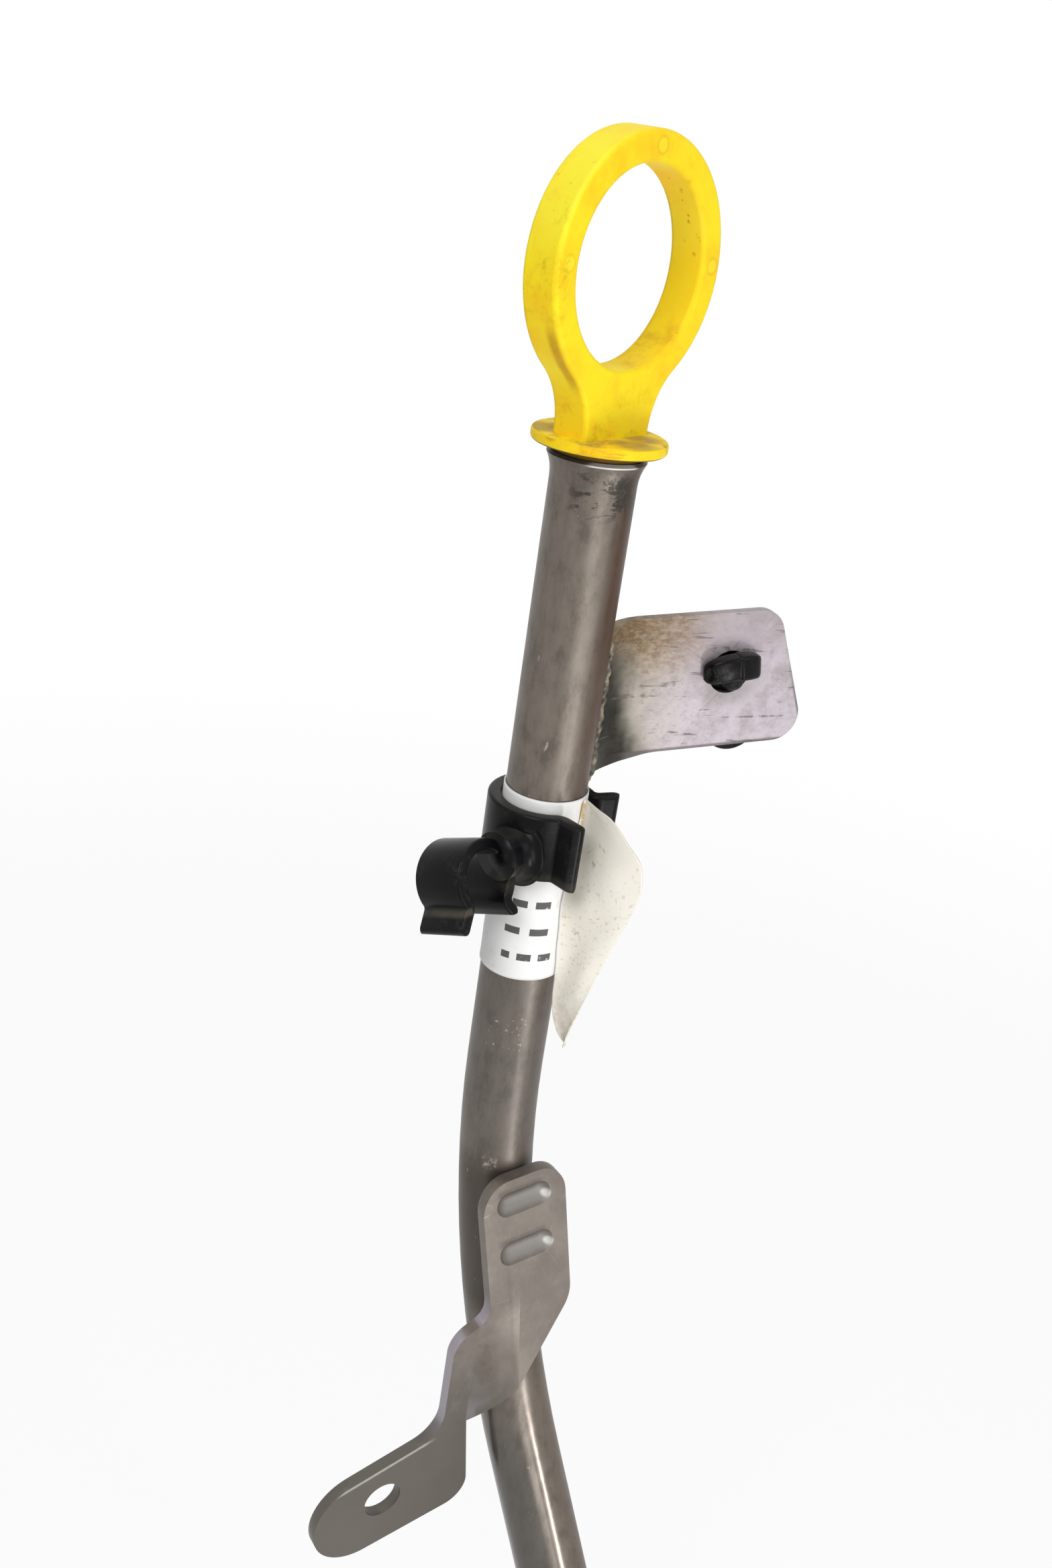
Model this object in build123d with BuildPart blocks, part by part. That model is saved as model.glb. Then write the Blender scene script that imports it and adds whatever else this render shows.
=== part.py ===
from build123d import *
import os
from math import asin, cos, degrees, radians, sin, tan

# Engine oil dipstick in its guide tube, in millimetres.
# The origin is the centre of the stay's bolt hole. +Z runs up the tube's upper run, and the
# tube's lower run leans towards -Y, which is also the way the finger ring faces.

# Guide tube
mouth_x = 24.0
mouth_y = 6.5
mouth_z = 170.5
tube_od = 12.0
tube_wall = 1.0
upper_run = 96.5
bend_radius = 163.0
bend_angle = 26.5
lower_run = 85.0
rim_od = 13.7
rim_wall = 1.15
rim_round = 0.4
flare_length = 3.7
spigot_chamfer = 0.4

# Handle
ring_radius = 16.6
ring_hole_radius = 12.65
ring_height = 23.9
ring_thickness = 5.8
ring_edge = 0.7
neck_width = 13.6
neck_flank = 10.0
flange_od = 18.5
flange_thickness = 1.6
flange_edge = 0.5
seat_height = 1.0
seat_ledge = 0.35
stem_length = 22.0
stem_clearance = 0.2
stem_tip_chamfer = 0.8

# Seals on the stem
seal_section = 1.8
seal_clearance = 0.05
seal_side_play = 0.2
seal_floor_play = 0.03
upper_seal_drop = 6.0
seal_spacing = 5.0

# Blade
blade_width = 5.0
blade_thickness = 0.8
blade_socket_depth = 11.0
blade_socket_play = 0.05
blade_reach = 48.0
level_hole = 2.2
level_hole_low = 9.0
level_band = 18.0
notch_depth = 0.6
notch_length = 1.2

# Upper bracket, turned about the tube's axis
hanger_turn = -28.0
hanger_tangent = -24.0
hanger_start = 1.5
hanger_sheet = 1.5
hanger_bend = 9.0
hanger_set_back = 9.0
hanger_top = 25.6
hanger_tip_drop = 45.95
hanger_sweep_drop = 48.1
hanger_reach = 47.2
hanger_end_lean = 9.0
hanger_corner = 4.2
hanger_rise = 1.2
hanger_root_drop = 50.2
hanger_root_run = 12.5
hanger_sweep = 20.0
hanger_sweep_round = 14.0
label_notch = 0.1
hanger_hole = 7.0
hanger_hole_along = 31.4
hanger_hole_drop = 34.7
braze_gap = 0.05

# Harness clip in the upper bracket
anchor_stem_play = 0.9
anchor_length = 9.2
anchor_width = 4.2
anchor_depth = 3.4
anchor_slope = 8.0
anchor_lift = 0.6
anchor_edge = 0.9
pad_width = 10.0
pad_above = 7.0
pad_below = 14.6
pad_turn = 17.0
pad_depth = 2.6
pad_gap = 0.1

# Label
label_top = 49.5
label_height = 29.3
label_film = 0.25
label_gap = 0.03
flag_turn = 8.0
flag_root_x = 0.64
flag_root_y = -6.07
flag_reach = 11.6
flag_shoulder = 6.0
flag_tip = 4.2
flag_droop = 10.7
flag_round = 3.0

# Pipe clip
clip_top = 50.7
clip_height = 10.2
clip_wall = 2.1
clip_gap = 0.05
clip_mouth_turn = -71.75
clip_mouth_angle = 98.5
front_lip = 4.6
rear_lip = 4.8
front_flare = 22.25
rear_flare = 45.9
line_bore = 8.2
line_wall = 1.9
line_length = 9.0
line_tilt = 24.0
line_offset_x = 14.0
line_offset_y = 1.1
line_drop = 60.9
line_mouth_angle = 96.0
line_lip = 4.3
line_near_lip = 3.1
line_lip_flare = 36.0
boss_radius = 4.4
boss_offset_y = -1.4
boss_drop = 57.1

# Stay: the lower bracket
stay_turn = -16.0
stay_sheet = 2.0
bolt_hole = 6.6
tab_end_along = -4.0
tab_end_drop = 2.1
tab_end_radius = 8.2
tab_low_slope = 10.5
tab_top_slope = 15.5
tab_right = 16.8
tab_corner = 4.5
tab_inner_corner = 6.0
neck_left = 10.0
neck_right = 14.5
neck_shoulder = 29.7
neck_slope = 3.0
neck_corner = 5.0
foot_height = 11.4
foot_along = -2.4
foot_rise = 6.0
foot_corner = 7.0
crease_left = 14.3
crease_right = -1.2
plate_drop = 113.4
plate_height = 43.7
plate_width = 15.6
plate_offset = 0.8
plate_lean = 4.5
plate_tilt = 12.5
plate_standoff = 1.3
plate_corner = 5.0
plate_shoulder = 24.9
plate_side_corner = 6.0
plate_inner_corner = 3.5
groove_length = 10.0
groove_width = 4.2
groove_depth = 1.1
groove_drop = 6.2
groove_pitch = 8.8
groove_shift = -0.35
groove_rim = 0.9

# Worked out from the sizes above
tube_radius = tube_od / 2
bore_radius = tube_radius - tube_wall
rim_radius = rim_od / 2
rim_bore_radius = rim_radius - rim_wall
film_radius = tube_radius + label_gap + label_film
mouth = Vector(mouth_x, mouth_y, mouth_z)
tube_axis = Axis(tuple(mouth), (0, 0, 1))

# Across the tube's bend, with local x towards -Y and local y up
side_plane = Plane(tuple(mouth), x_dir=(0, -1, 0), z_dir=(-1, 0, 0))
# Facing the finger ring, with local x along X and local y up
front_plane = Plane(tuple(mouth), x_dir=(1, 0, 0), z_dir=(0, -1, 0))


def level(drop, turn=0.0):
    """A plane across the upper run, this far below the mouth, turned about its axis."""
    across = (cos(radians(turn)), sin(radians(turn)), 0)
    return Plane((mouth_x, mouth_y, mouth_z - drop), x_dir=across, z_dir=(0, 0, 1))


def standing(turn, origin):
    """An upright plane through a point, with local x along the turned X and local y up."""
    across = (cos(radians(turn)), sin(radians(turn)), 0)
    facing = (sin(radians(turn)), -cos(radians(turn)), 0)
    return Plane(tuple(origin), x_dir=across, z_dir=facing)


def tube_line(first_drop, last_run):
    """The tube's centre line: a straight run, the bend and a straight run."""
    with BuildLine(side_plane) as line:
        top = Line((0, -first_drop), (0, -upper_run))
        bend = JernArc(top @ 1, top % 1, bend_radius, bend_angle)
        Line(bend @ 1, bend @ 1 + (bend % 1) * last_run)
    return line.line


def bend_line(start_angle, end_angle):
    """A stretch of the bend's centre line, between two angles of the bend."""
    with BuildLine(side_plane) as line:
        CenterArc((bend_radius, -upper_run), bend_radius, 180 + start_angle, end_angle - start_angle)
    return line.line


def across(line):
    """The plane across the start of a line that lies in the bend's plane."""
    return Plane(line @ 0, x_dir=(1, 0, 0), z_dir=line % 0)


# Guide tube: a swept pipe with a flared mouth
with BuildPart() as guide_tube:
    pipe_line = tube_line(flare_length, lower_run)
    with BuildSketch(across(pipe_line)):
        Circle(tube_radius)
        Circle(bore_radius, mode=Mode.SUBTRACT)
    sweep(path=pipe_line)
    spigot_edges = guide_tube.faces().sort_by(Axis.Z)[0].edges().sort_by(SortBy.LENGTH)[-1:]
    chamfer(spigot_edges, spigot_chamfer)
    with BuildSketch(front_plane):
        with BuildLine():
            flare = TangentArc((tube_radius, -flare_length), (rim_radius, -rim_round), tangent=(0, 1))
            lip = Line(flare @ 1, (rim_radius - rim_round, 0))
            land = Line(lip @ 1, (rim_bore_radius, 0))
            throat = Line(land @ 1, (bore_radius, -flare_length))
            Line(throat @ 1, flare @ 0)
        make_face()
    revolve(axis=tube_axis)

# Handle: ring, neck, flange and sealing stem, moulded in one piece
flange_bottom = seat_height
flange_top = flange_bottom + flange_thickness
stem_radius = bore_radius - stem_clearance
seat_radius = rim_bore_radius + seat_ledge
seal_outer = bore_radius - seal_clearance
seal_centre = seal_outer - seal_section / 2
groove_floor = seal_outer - seal_section - seal_floor_play
groove_half = seal_section / 2 + seal_side_play
seal_drops = [upper_seal_drop + seal_spacing * n for n in range(2)]

with BuildPart() as handle:
    with BuildSketch(front_plane):
        with Locations((0, ring_height)):
            Circle(ring_radius)
        with Locations((0, flange_bottom)):
            Rectangle(neck_width, ring_height - flange_bottom, align=(Align.CENTER, Align.MIN))
        inner_corners = vertices().group_by(Axis.Y)[1]
        fillet(inner_corners, neck_flank)
        with Locations((0, ring_height)):
            Circle(ring_hole_radius, mode=Mode.SUBTRACT)
    extrude(amount=ring_thickness / 2, both=True)
    ring_faces = handle.faces().filter_by(Axis.Y)
    rounded = [e for e in ring_faces.edges() if e.center().Z > mouth_z + flange_top]
    fillet(rounded, ring_edge)
    with BuildSketch(front_plane):
        with BuildLine():
            Polyline(
                (0, flange_top),
                (flange_od / 2, flange_top),
                (flange_od / 2, flange_bottom),
                (seat_radius, flange_bottom),
                (seat_radius, 0),
                (stem_radius, 0),
                (stem_radius, -stem_length + stem_tip_chamfer),
                (stem_radius - stem_tip_chamfer, -stem_length),
                (0, -stem_length),
                close=True,
            )
        make_face()
        rim_corners = vertices().group_by(Axis.X)[-1]
        fillet(rim_corners, flange_edge)
        for drop in seal_drops:
            with Locations((groove_floor, -drop)):
                Rectangle(
                    stem_radius,
                    2 * groove_half,
                    align=(Align.MIN, Align.CENTER),
                    mode=Mode.SUBTRACT,
                )
    revolve(axis=tube_axis)
    with BuildSketch(level(stem_length)):
        Rectangle(blade_width + 2 * blade_socket_play, blade_thickness + 2 * blade_socket_play)
    extrude(amount=blade_socket_depth, mode=Mode.SUBTRACT)

# Seals: two O-rings in the stem's grooves
seals = []
for drop in seal_drops:
    with BuildPart() as seal:
        with BuildSketch(front_plane):
            with Locations((seal_centre, -drop)):
                Circle(seal_section / 2)
        revolve(axis=tube_axis)
    seals.append(seal)

# Blade: a flat steel strip that follows the tube and ends below it
with BuildPart() as blade:
    blade_line = tube_line(stem_length - blade_socket_depth, lower_run + blade_reach)
    with BuildSketch(across(blade_line)):
        Rectangle(blade_width, blade_thickness)
    sweep(path=blade_line)
    tip_plane = Plane(blade_line @ 1, x_dir=(1, 0, 0), z_dir=(blade_line % 1).cross(Vector(1, 0, 0)))
    corner_edges = blade.edges().filter_by(Axis(tuple(mouth), tuple(tip_plane.z_dir)))
    fillet(corner_edges.group_by(Axis.Z)[0], blade_width * 0.35)
    with BuildSketch(tip_plane):
        with Locations((0, level_hole_low), (0, level_hole_low + level_band)):
            Circle(level_hole / 2)
        for end in (level_hole_low, level_hole_low + level_band):
            for edge_side in (-1, 1):
                with Locations((edge_side * blade_width / 2, end)):
                    Rectangle(2 * notch_depth, notch_length)
    extrude(amount=blade_thickness, both=True, mode=Mode.SUBTRACT)

# Upper bracket: a sheet brazed to the tube's side, with a flat tab for the harness clip
sheet_line = tube_radius + braze_gap - hanger_sheet / 2
root_out = (cos(radians(hanger_tangent)), sin(radians(hanger_tangent)))
root_way = (-root_out[1], root_out[0])
bend_sweep = 90 + hanger_tangent
bend_rise = hanger_bend * (1 - cos(radians(bend_sweep)))
root_length = (hanger_set_back - bend_rise - sheet_line * root_out[1]) / root_way[1]
hanger_tall = hanger_root_drop - hanger_top + hanger_rise


def on_root(run):
    """A point along the bracket's root, where the sheet runs past the tube."""
    return (sheet_line * root_out[0] + run * root_way[0], sheet_line * root_out[1] + run * root_way[1])


with BuildPart() as upper_bracket:
    root_point = (hanger_root_run, -hanger_root_drop)
    sweep_point = (hanger_sweep, -hanger_sweep_drop)
    with BuildSketch(level(hanger_root_drop, hanger_turn)):
        with BuildLine():
            root = Line(on_root(hanger_start), on_root(root_length))
            bend = JernArc(root @ 1, root % 1, hanger_bend, -bend_sweep)
            Line(bend @ 1, (hanger_reach, hanger_set_back))
        trace(line_width=hanger_sheet)
    extrude(amount=hanger_tall)
    with BuildSketch(standing(hanger_turn, mouth)):
        with BuildLine():
            Polyline(
                (-tube_od, -hanger_top - hanger_rise),
                (hanger_bend, -hanger_top - hanger_rise),
                (hanger_reach - hanger_end_lean, -hanger_top + hanger_rise),
                (hanger_reach, -hanger_tip_drop),
                sweep_point,
                root_point,
                (-tube_od, -hanger_root_drop),
                close=True,
            )
        make_face()
        free_corners = vertices().sort_by(Axis.X)[-2:]
        fillet(free_corners, hanger_corner)
        for turning in (sweep_point, root_point):
            fillet(vertices().sort_by_distance(turning)[0], hanger_sweep_round)
        with Locations((hanger_hole_along, -hanger_hole_drop)):
            Circle(hanger_hole / 2, mode=Mode.SUBTRACT)
    extrude(amount=2 * hanger_reach, both=True, mode=Mode.INTERSECT)
    with BuildSketch(level(hanger_root_drop + hanger_tall)):
        Circle(tube_radius + braze_gap)
    extrude(amount=3 * hanger_tall, mode=Mode.SUBTRACT)
    with BuildSketch(level(label_top - label_notch)):
        Circle(film_radius + label_notch)
    extrude(amount=-hanger_tall, mode=Mode.SUBTRACT)

# Harness clip: an anchor head in front of the tab, a stem in its hole and a pad behind
tab_across = Vector(cos(radians(hanger_turn)), sin(radians(hanger_turn)), 0)
tab_facing = Vector(sin(radians(hanger_turn)), -cos(radians(hanger_turn)), 0)
clip_centre = (
    mouth
    + tab_across * hanger_hole_along
    - tab_facing * hanger_set_back
    - Vector(0, 0, hanger_hole_drop)
)
front_face = standing(hanger_turn, clip_centre).offset(hanger_sheet / 2)
back_face = standing(hanger_turn, clip_centre).offset(-hanger_sheet / 2 - pad_gap)

with BuildPart() as harness_clip:
    with BuildSketch(back_face):
        Circle(hanger_hole / 2 - anchor_stem_play)
    extrude(amount=hanger_sheet + pad_gap + anchor_lift + anchor_depth / 2)
    with BuildSketch(front_face.offset(anchor_lift)):
        Rectangle(anchor_length, anchor_width, rotation=anchor_slope)
        fillet(vertices(), anchor_width * 0.3)
    extrude(amount=anchor_depth)
    outward = Axis(tuple(clip_centre), tuple(tab_facing))
    head_top = harness_clip.faces().sort_by(outward)[-1]
    fillet(head_top.edges(), anchor_edge)
    with BuildSketch(back_face):
        pad_middle = (pad_below - pad_above) / 2
        with Locations((pad_middle * sin(radians(pad_turn)), -pad_middle * cos(radians(pad_turn)))):
            SlotOverall(pad_above + pad_below, pad_width, rotation=90 + pad_turn)
    extrude(amount=-pad_depth)

# Label: a film wound round the tube, with its free end hanging as a flag
with BuildPart() as label:
    with BuildSketch(level(label_top + label_height)):
        Circle(film_radius)
        Circle(tube_radius + label_gap, mode=Mode.SUBTRACT)
    extrude(amount=label_height)
    flag_plane = standing(flag_turn - 90, mouth + Vector(flag_root_x, flag_root_y, 0))
    with BuildSketch(flag_plane):
        with BuildLine():
            Polyline(
                (0, -label_top),
                (flag_shoulder, -label_top - 0.015 * label_height),
                (flag_reach, -label_top - 0.19 * label_height),
                (flag_reach, -label_top - 0.4 * label_height),
                (flag_tip, -label_top - label_height - flag_droop),
                (0, -label_top - label_height),
                close=True,
            )
        make_face()
        outer = vertices().sort_by(Axis.X)[-2:]
        fillet(outer, flag_round)
    extrude(amount=label_film / 2, both=True)
    with BuildSketch(level(label_top + 2 * label_height)):
        Circle(tube_radius + label_gap)
    extrude(amount=3 * label_height, mode=Mode.SUBTRACT)

# Pipe clip: one C round the tube, a boss and a second C for a small line
grip_inner = film_radius + clip_gap
grip_middle = grip_inner + clip_wall / 2
line_inner = line_bore / 2
line_middle = line_inner + line_wall / 2
line_centre = mouth + Vector(-line_offset_x, line_offset_y, -line_drop)
line_axis = Vector(0, -cos(radians(line_tilt)), sin(radians(line_tilt)))
line_plane = Plane(tuple(line_centre), x_dir=(1, 0, 0), z_dir=tuple(line_axis))


def open_ring(inner, wall, mouth_turn, mouth_angle, lips, flares):
    """A C with its mouth facing mouth_turn and a straight lip, flared outward, at each end."""
    far = 3 * (inner + wall)
    ends = [mouth_turn + side * mouth_angle / 2 for side in (-1, 1)]
    Circle(inner + wall)
    Circle(inner, mode=Mode.SUBTRACT)
    Polygon(
        (0, 0),
        (far * cos(radians(ends[0])), far * sin(radians(ends[0]))),
        (far * cos(radians(ends[1])), far * sin(radians(ends[1]))),
        align=None,
        mode=Mode.SUBTRACT,
    )
    middle = inner + wall / 2
    for side, end, length, flare in zip((-1, 1), ends, lips, flares):
        root = (middle * cos(radians(end)), middle * sin(radians(end)))
        with Locations(root):
            Circle(wall / 2)
            Rectangle(length, wall, rotation=mouth_turn + side * flare, align=(Align.MIN, Align.CENTER))


with BuildPart() as pipe_clip:
    with BuildSketch(level(clip_top + clip_height)):
        grip_lips = (front_lip, rear_lip)
        grip_flares = (front_flare, rear_flare)
        open_ring(grip_inner, clip_wall, clip_mouth_turn, clip_mouth_angle, grip_lips, grip_flares)
    extrude(amount=clip_height)
    with BuildSketch(line_plane.offset(-line_length / 2)):
        line_lips = (line_lip, line_near_lip)
        line_flares = (line_lip_flare, line_lip_flare)
        open_ring(line_inner, line_wall, -90, line_mouth_angle, line_lips, line_flares)
    extrude(amount=line_length)
    boss_centre = mouth + Vector(-grip_middle, boss_offset_y, -boss_drop)
    with BuildSketch(Plane(tuple(boss_centre), x_dir=(0, 1, 0), z_dir=(-1, 0, 0))):
        Circle(boss_radius)
    extrude(amount=line_offset_x - line_middle - grip_middle)
    with BuildSketch(level(clip_top + 2 * clip_height)):
        Circle(grip_inner)
    extrude(amount=3 * clip_height, mode=Mode.SUBTRACT)

# Stay: weld plate on the tube, formed neck and bolt tab, pressed from one sheet
stay_plane = standing(stay_turn, (0, 0, 0))
stay_across = stay_plane.x_dir
stay_facing = stay_plane.z_dir
plate_mid_drop = plate_drop + plate_height / 2
plate_bend = degrees(asin((plate_mid_drop - upper_run) / bend_radius))
plate_axis = mouth + Vector(0, -bend_radius * (1 - cos(radians(plate_bend))), -plate_mid_drop)
plate_mid = plate_axis.Z
tube_along = stay_across.dot(plate_axis)
tube_front = stay_facing.dot(plate_axis)
sheet_front = (tube_radius + plate_standoff + stay_sheet / 2) / cos(radians(plate_tilt))
level_front = tube_front + sheet_front
neck_top = plate_mid + level_front / tan(radians(plate_tilt))
plate_normal = stay_facing * cos(radians(plate_tilt)) + Vector(0, 0, sin(radians(plate_tilt)))
plate_point = plate_axis + plate_normal * (tube_radius + plate_standoff)
plate_up = plate_normal.cross(stay_across)
plate_across = stay_across * cos(radians(plate_lean)) + plate_up * sin(radians(plate_lean))
plate_plane = Plane(tuple(plate_point), x_dir=tuple(plate_across), z_dir=tuple(plate_normal))
groove_round = (groove_width**2 / 4 + groove_depth**2) / (2 * groove_depth)


def on_stay(along, up):
    """A point of the leaning plate, in the bolt hole's upright plane."""
    turn = radians(plate_lean)
    return (
        tube_along + along * cos(turn) - up * sin(turn),
        plate_mid + (along * sin(turn) + up * cos(turn)) * cos(radians(plate_tilt)),
    )


def sheet_front_at(height):
    """How far the middle of the weld plate is in front of the tab, at a height."""
    return level_front + (plate_mid - height) * tan(radians(plate_tilt))


def stay_section(height, neck_front):
    """The formed sheet's cross-section at a height, across its two creases."""
    half = stay_sheet / 2
    plate_front = sheet_front_at(height)
    creases = [
        (neck_left - tab_right, neck_front),
        (crease_left, neck_front),
        (tube_along + crease_right, plate_front),
        (tube_along + tab_right, plate_front),
    ]
    section_plane = Plane((0, 0, height), x_dir=tuple(stay_across), z_dir=(0, 0, 1))
    front_side = [(along, -front - half, 0) for along, front in creases]
    back_side = [(along, -front + half, 0) for along, front in reversed(creases)]
    corners = [section_plane.from_local_coords(corner) for corner in front_side + back_side]
    return Face(Wire.make_polygon(corners, close=True))


with BuildPart() as lower_bracket:
    # Formed sheet: flat down to the neck, then folded between the tab and the tube
    sheet_top = plate_mid + plate_height
    sheet_foot = foot_height - stay_sheet
    loft(
        [
            stay_section(sheet_foot, 0),
            stay_section(neck_top, 0),
            stay_section(sheet_top, sheet_front_at(sheet_top)),
        ],
        ruled=True,
    )
    with BuildSketch(stay_plane):
        half_width = plate_width / 2
        half_height = plate_height / 2
        left_top = on_stay(plate_offset - half_width, half_height)
        left_low = on_stay(plate_offset - half_width, neck_shoulder - plate_mid)
        inner_shoulder = (left_low[0], neck_shoulder + neck_slope)
        side_corner = on_stay(plate_offset + half_width, half_height - plate_shoulder)
        foot_point = (tube_along + foot_along, foot_height + foot_rise)
        with BuildLine():
            Polyline(
                left_top,
                on_stay(plate_offset + half_width, half_height),
                side_corner,
                foot_point,
                (neck_right, foot_height),
                (neck_left, foot_height),
                (neck_left, neck_shoulder),
                inner_shoulder,
                close=True,
            )
        make_face()
        fillet(vertices().sort_by(Axis.Y)[-2:], plate_corner)
        for corner, corner_round in (
            (side_corner, plate_side_corner),
            (foot_point, foot_corner),
            ((neck_left, neck_shoulder), neck_corner),
            (inner_shoulder, plate_inner_corner),
        ):
            fillet(vertices().sort_by_distance(corner)[0], corner_round)
    extrude(amount=2 * tab_right, both=True, mode=Mode.INTERSECT)
    # Bolt tab, in the upright plane of the bolt hole
    low_turn = radians(tab_low_slope)
    top_turn = radians(tab_top_slope)
    low = (
        tab_end_along + sin(low_turn) * tab_end_radius,
        -tab_end_drop - cos(low_turn) * tab_end_radius,
    )
    high = (
        tab_end_along - sin(top_turn) * tab_end_radius,
        -tab_end_drop + cos(top_turn) * tab_end_radius,
    )
    inner_corner = (neck_left, high[1] + (neck_left - high[0]) * tan(top_turn))
    outer_corner = (tab_right, low[1] + (tab_right - low[0]) * tan(low_turn))
    with BuildSketch(stay_plane):
        with BuildLine():
            Polyline(
                high,
                inner_corner,
                (neck_left, foot_height + 2 * stay_sheet),
                (crease_left, foot_height + 2 * stay_sheet),
                (neck_right, foot_height),
                outer_corner,
                low,
            )
            RadiusArc(low, high, tab_end_radius)
        make_face()
        fillet(vertices().sort_by_distance(inner_corner)[0], tab_inner_corner)
        fillet(vertices().sort_by_distance(outer_corner)[0], tab_corner)
        Circle(bolt_hole / 2, mode=Mode.SUBTRACT)
    extrude(amount=stay_sheet / 2, both=True)
    # Pressed grooves that bear on the tube
    plate_front = plate_plane.offset(stay_sheet * cos(radians(plate_tilt)))
    for row in range(2):
        groove_up = half_height - groove_drop - groove_pitch * row
        groove_spot = (plate_offset + groove_shift, groove_up, groove_round - groove_depth)
        groove_middle = plate_front.from_local_coords(groove_spot)
        groove_plane = Plane(tuple(groove_middle), x_dir=plate_plane.x_dir, z_dir=plate_plane.y_dir)
        with BuildSketch(groove_plane):
            SlotOverall(groove_length - groove_width + 2 * groove_round, 2 * groove_round)
            Rectangle(
                2 * groove_length,
                2 * groove_round,
                align=(Align.CENTER, Align.MIN),
                mode=Mode.SUBTRACT,
            )
        revolve(axis=Axis(groove_plane.origin, groove_plane.x_dir), mode=Mode.SUBTRACT)
        with BuildSketch(plate_plane.offset(stay_sheet / 4)):
            with Locations(groove_spot[:2]):
                SlotOverall(groove_length, groove_width)
        extrude(amount=-plate_standoff - stay_sheet / 4)
    front_skin = lower_bracket.faces().filter_by(lambda face: len(face.inner_wires()) == 2)
    for rim in front_skin.sort_by(SortBy.AREA)[-1].inner_wires():
        fillet(rim.edges(), groove_rim)
    # The tube's own space
    clear_line = tube_line(flare_length, lower_run)
    with BuildSketch(across(clear_line)):
        Circle(tube_radius + braze_gap)
    sweep(path=clear_line, mode=Mode.SUBTRACT)

os.makedirs("parts", exist_ok=True)
pieces = {
    "guide_tube": guide_tube,
    "handle": handle,
    "upper_seal": seals[0],
    "lower_seal": seals[1],
    "blade": blade,
    "upper_bracket": upper_bracket,
    "harness_clip": harness_clip,
    "label": label,
    "pipe_clip": pipe_clip,
    "lower_bracket": lower_bracket,
}
for name, piece in pieces.items():
    piece.part.label = name
    export_step(piece.part, f"parts/{name}.step")
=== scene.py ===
import bmesh
import bpy
import numpy as np
from mathutils import Matrix, Vector


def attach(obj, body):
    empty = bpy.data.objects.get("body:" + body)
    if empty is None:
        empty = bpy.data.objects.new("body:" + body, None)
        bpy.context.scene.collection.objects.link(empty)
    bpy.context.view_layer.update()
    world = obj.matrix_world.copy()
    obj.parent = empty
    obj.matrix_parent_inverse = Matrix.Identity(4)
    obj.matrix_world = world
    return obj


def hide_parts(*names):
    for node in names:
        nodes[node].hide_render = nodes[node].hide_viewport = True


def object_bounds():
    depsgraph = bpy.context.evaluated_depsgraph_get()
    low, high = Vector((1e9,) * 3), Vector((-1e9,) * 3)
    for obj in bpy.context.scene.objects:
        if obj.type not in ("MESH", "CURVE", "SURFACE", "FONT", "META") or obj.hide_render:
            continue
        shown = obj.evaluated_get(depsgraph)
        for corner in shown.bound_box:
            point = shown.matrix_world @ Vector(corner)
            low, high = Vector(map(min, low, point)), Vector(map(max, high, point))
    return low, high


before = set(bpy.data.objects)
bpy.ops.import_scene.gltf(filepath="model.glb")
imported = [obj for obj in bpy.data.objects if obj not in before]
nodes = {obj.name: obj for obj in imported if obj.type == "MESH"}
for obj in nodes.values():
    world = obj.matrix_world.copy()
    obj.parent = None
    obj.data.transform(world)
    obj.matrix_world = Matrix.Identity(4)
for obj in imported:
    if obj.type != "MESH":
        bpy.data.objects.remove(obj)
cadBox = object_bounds()
mm = 0.001

# a point of the tube's axis near its mouth, in millimetres, that the placed pieces hang from
mouth = np.array([24.0, 6.5, 170.0])
axisX = float(mouth[0]) * mm
axisY = float(mouth[1]) * mm
skyward = (0.0, 0.0, 1.0)
print("stage: frame loaded,", len(nodes), "nodes")


# small helpers for node trees: newFinish lays a new material on the bench, with its look and the first
# of its colours, and the others work there; a value that is a socket is linked, any other is set
bench = {}


def put(kind, sockets=None, **settings):
    node = bench["tree"].nodes.new(kind)
    for name, value in settings.items():
        setattr(node, name, value)
    for name, value in (sockets or {}).items():
        if isinstance(value, bpy.types.NodeSocket):
            bench["tree"].links.new(value, node.inputs[name])
        else:
            node.inputs[name].default_value = value
    return node


def newFinish(name, look, first):
    finish = bpy.data.materials.new(name)
    finish.use_nodes = True
    skin = finish.node_tree.nodes["Principled BSDF"]
    for key, socket in {"metallic": "Metallic", "specular": "Specular IOR Level"}.items():
        if key in look:
            skin.inputs[socket].default_value = look[key]
    bench.update({"finish": finish, "tree": finish.node_tree, "skin": skin})
    bench.update({"look": look, "base": look[first]})


def colour(r, g, b):
    return (r, g, b, 1.0)


def sums(kind, a, b):
    return put("ShaderNodeMath", {0: a, 1: b}, operation=kind).outputs[0]


def times(*values):
    total = values[0]
    for value in values[1:]:
        total = sums("MULTIPLY", total, value)
    return total


def most(*values):
    total = values[0]
    for value in values[1:]:
        total = sums("MAXIMUM", total, value)
    return total


# the colour so far, covered with one of the look's colours by the amount
def coat(amount, name):
    sockets = {0: amount, 6: bench["base"], 7: bench["look"][name]}
    bench["base"] = put("ShaderNodeMix", sockets, data_type="RGBA").outputs[2]


# puts the coats, a roughness and a relief on the shader; bump is the relief's depth and strength
def complete(roughness, height):
    depth, strength = bench["look"]["bump"]
    relief = put("ShaderNodeBump", {"Height": height, "Distance": depth, "Strength": strength})
    links = {"Base Color": bench["base"], "Roughness": roughness, "Normal": relief.outputs[0]}
    for socket, value in links.items():
        bench["tree"].links.new(value, bench["skin"].inputs[socket])
    return bench["finish"]


# an amount from 0 to 1, moved to run from low to high
def level(amount, low, high):
    sockets = {"Value": amount, "To Min": low, "To Max": high}
    return put("ShaderNodeMapRange", sockets).outputs["Result"]


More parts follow.
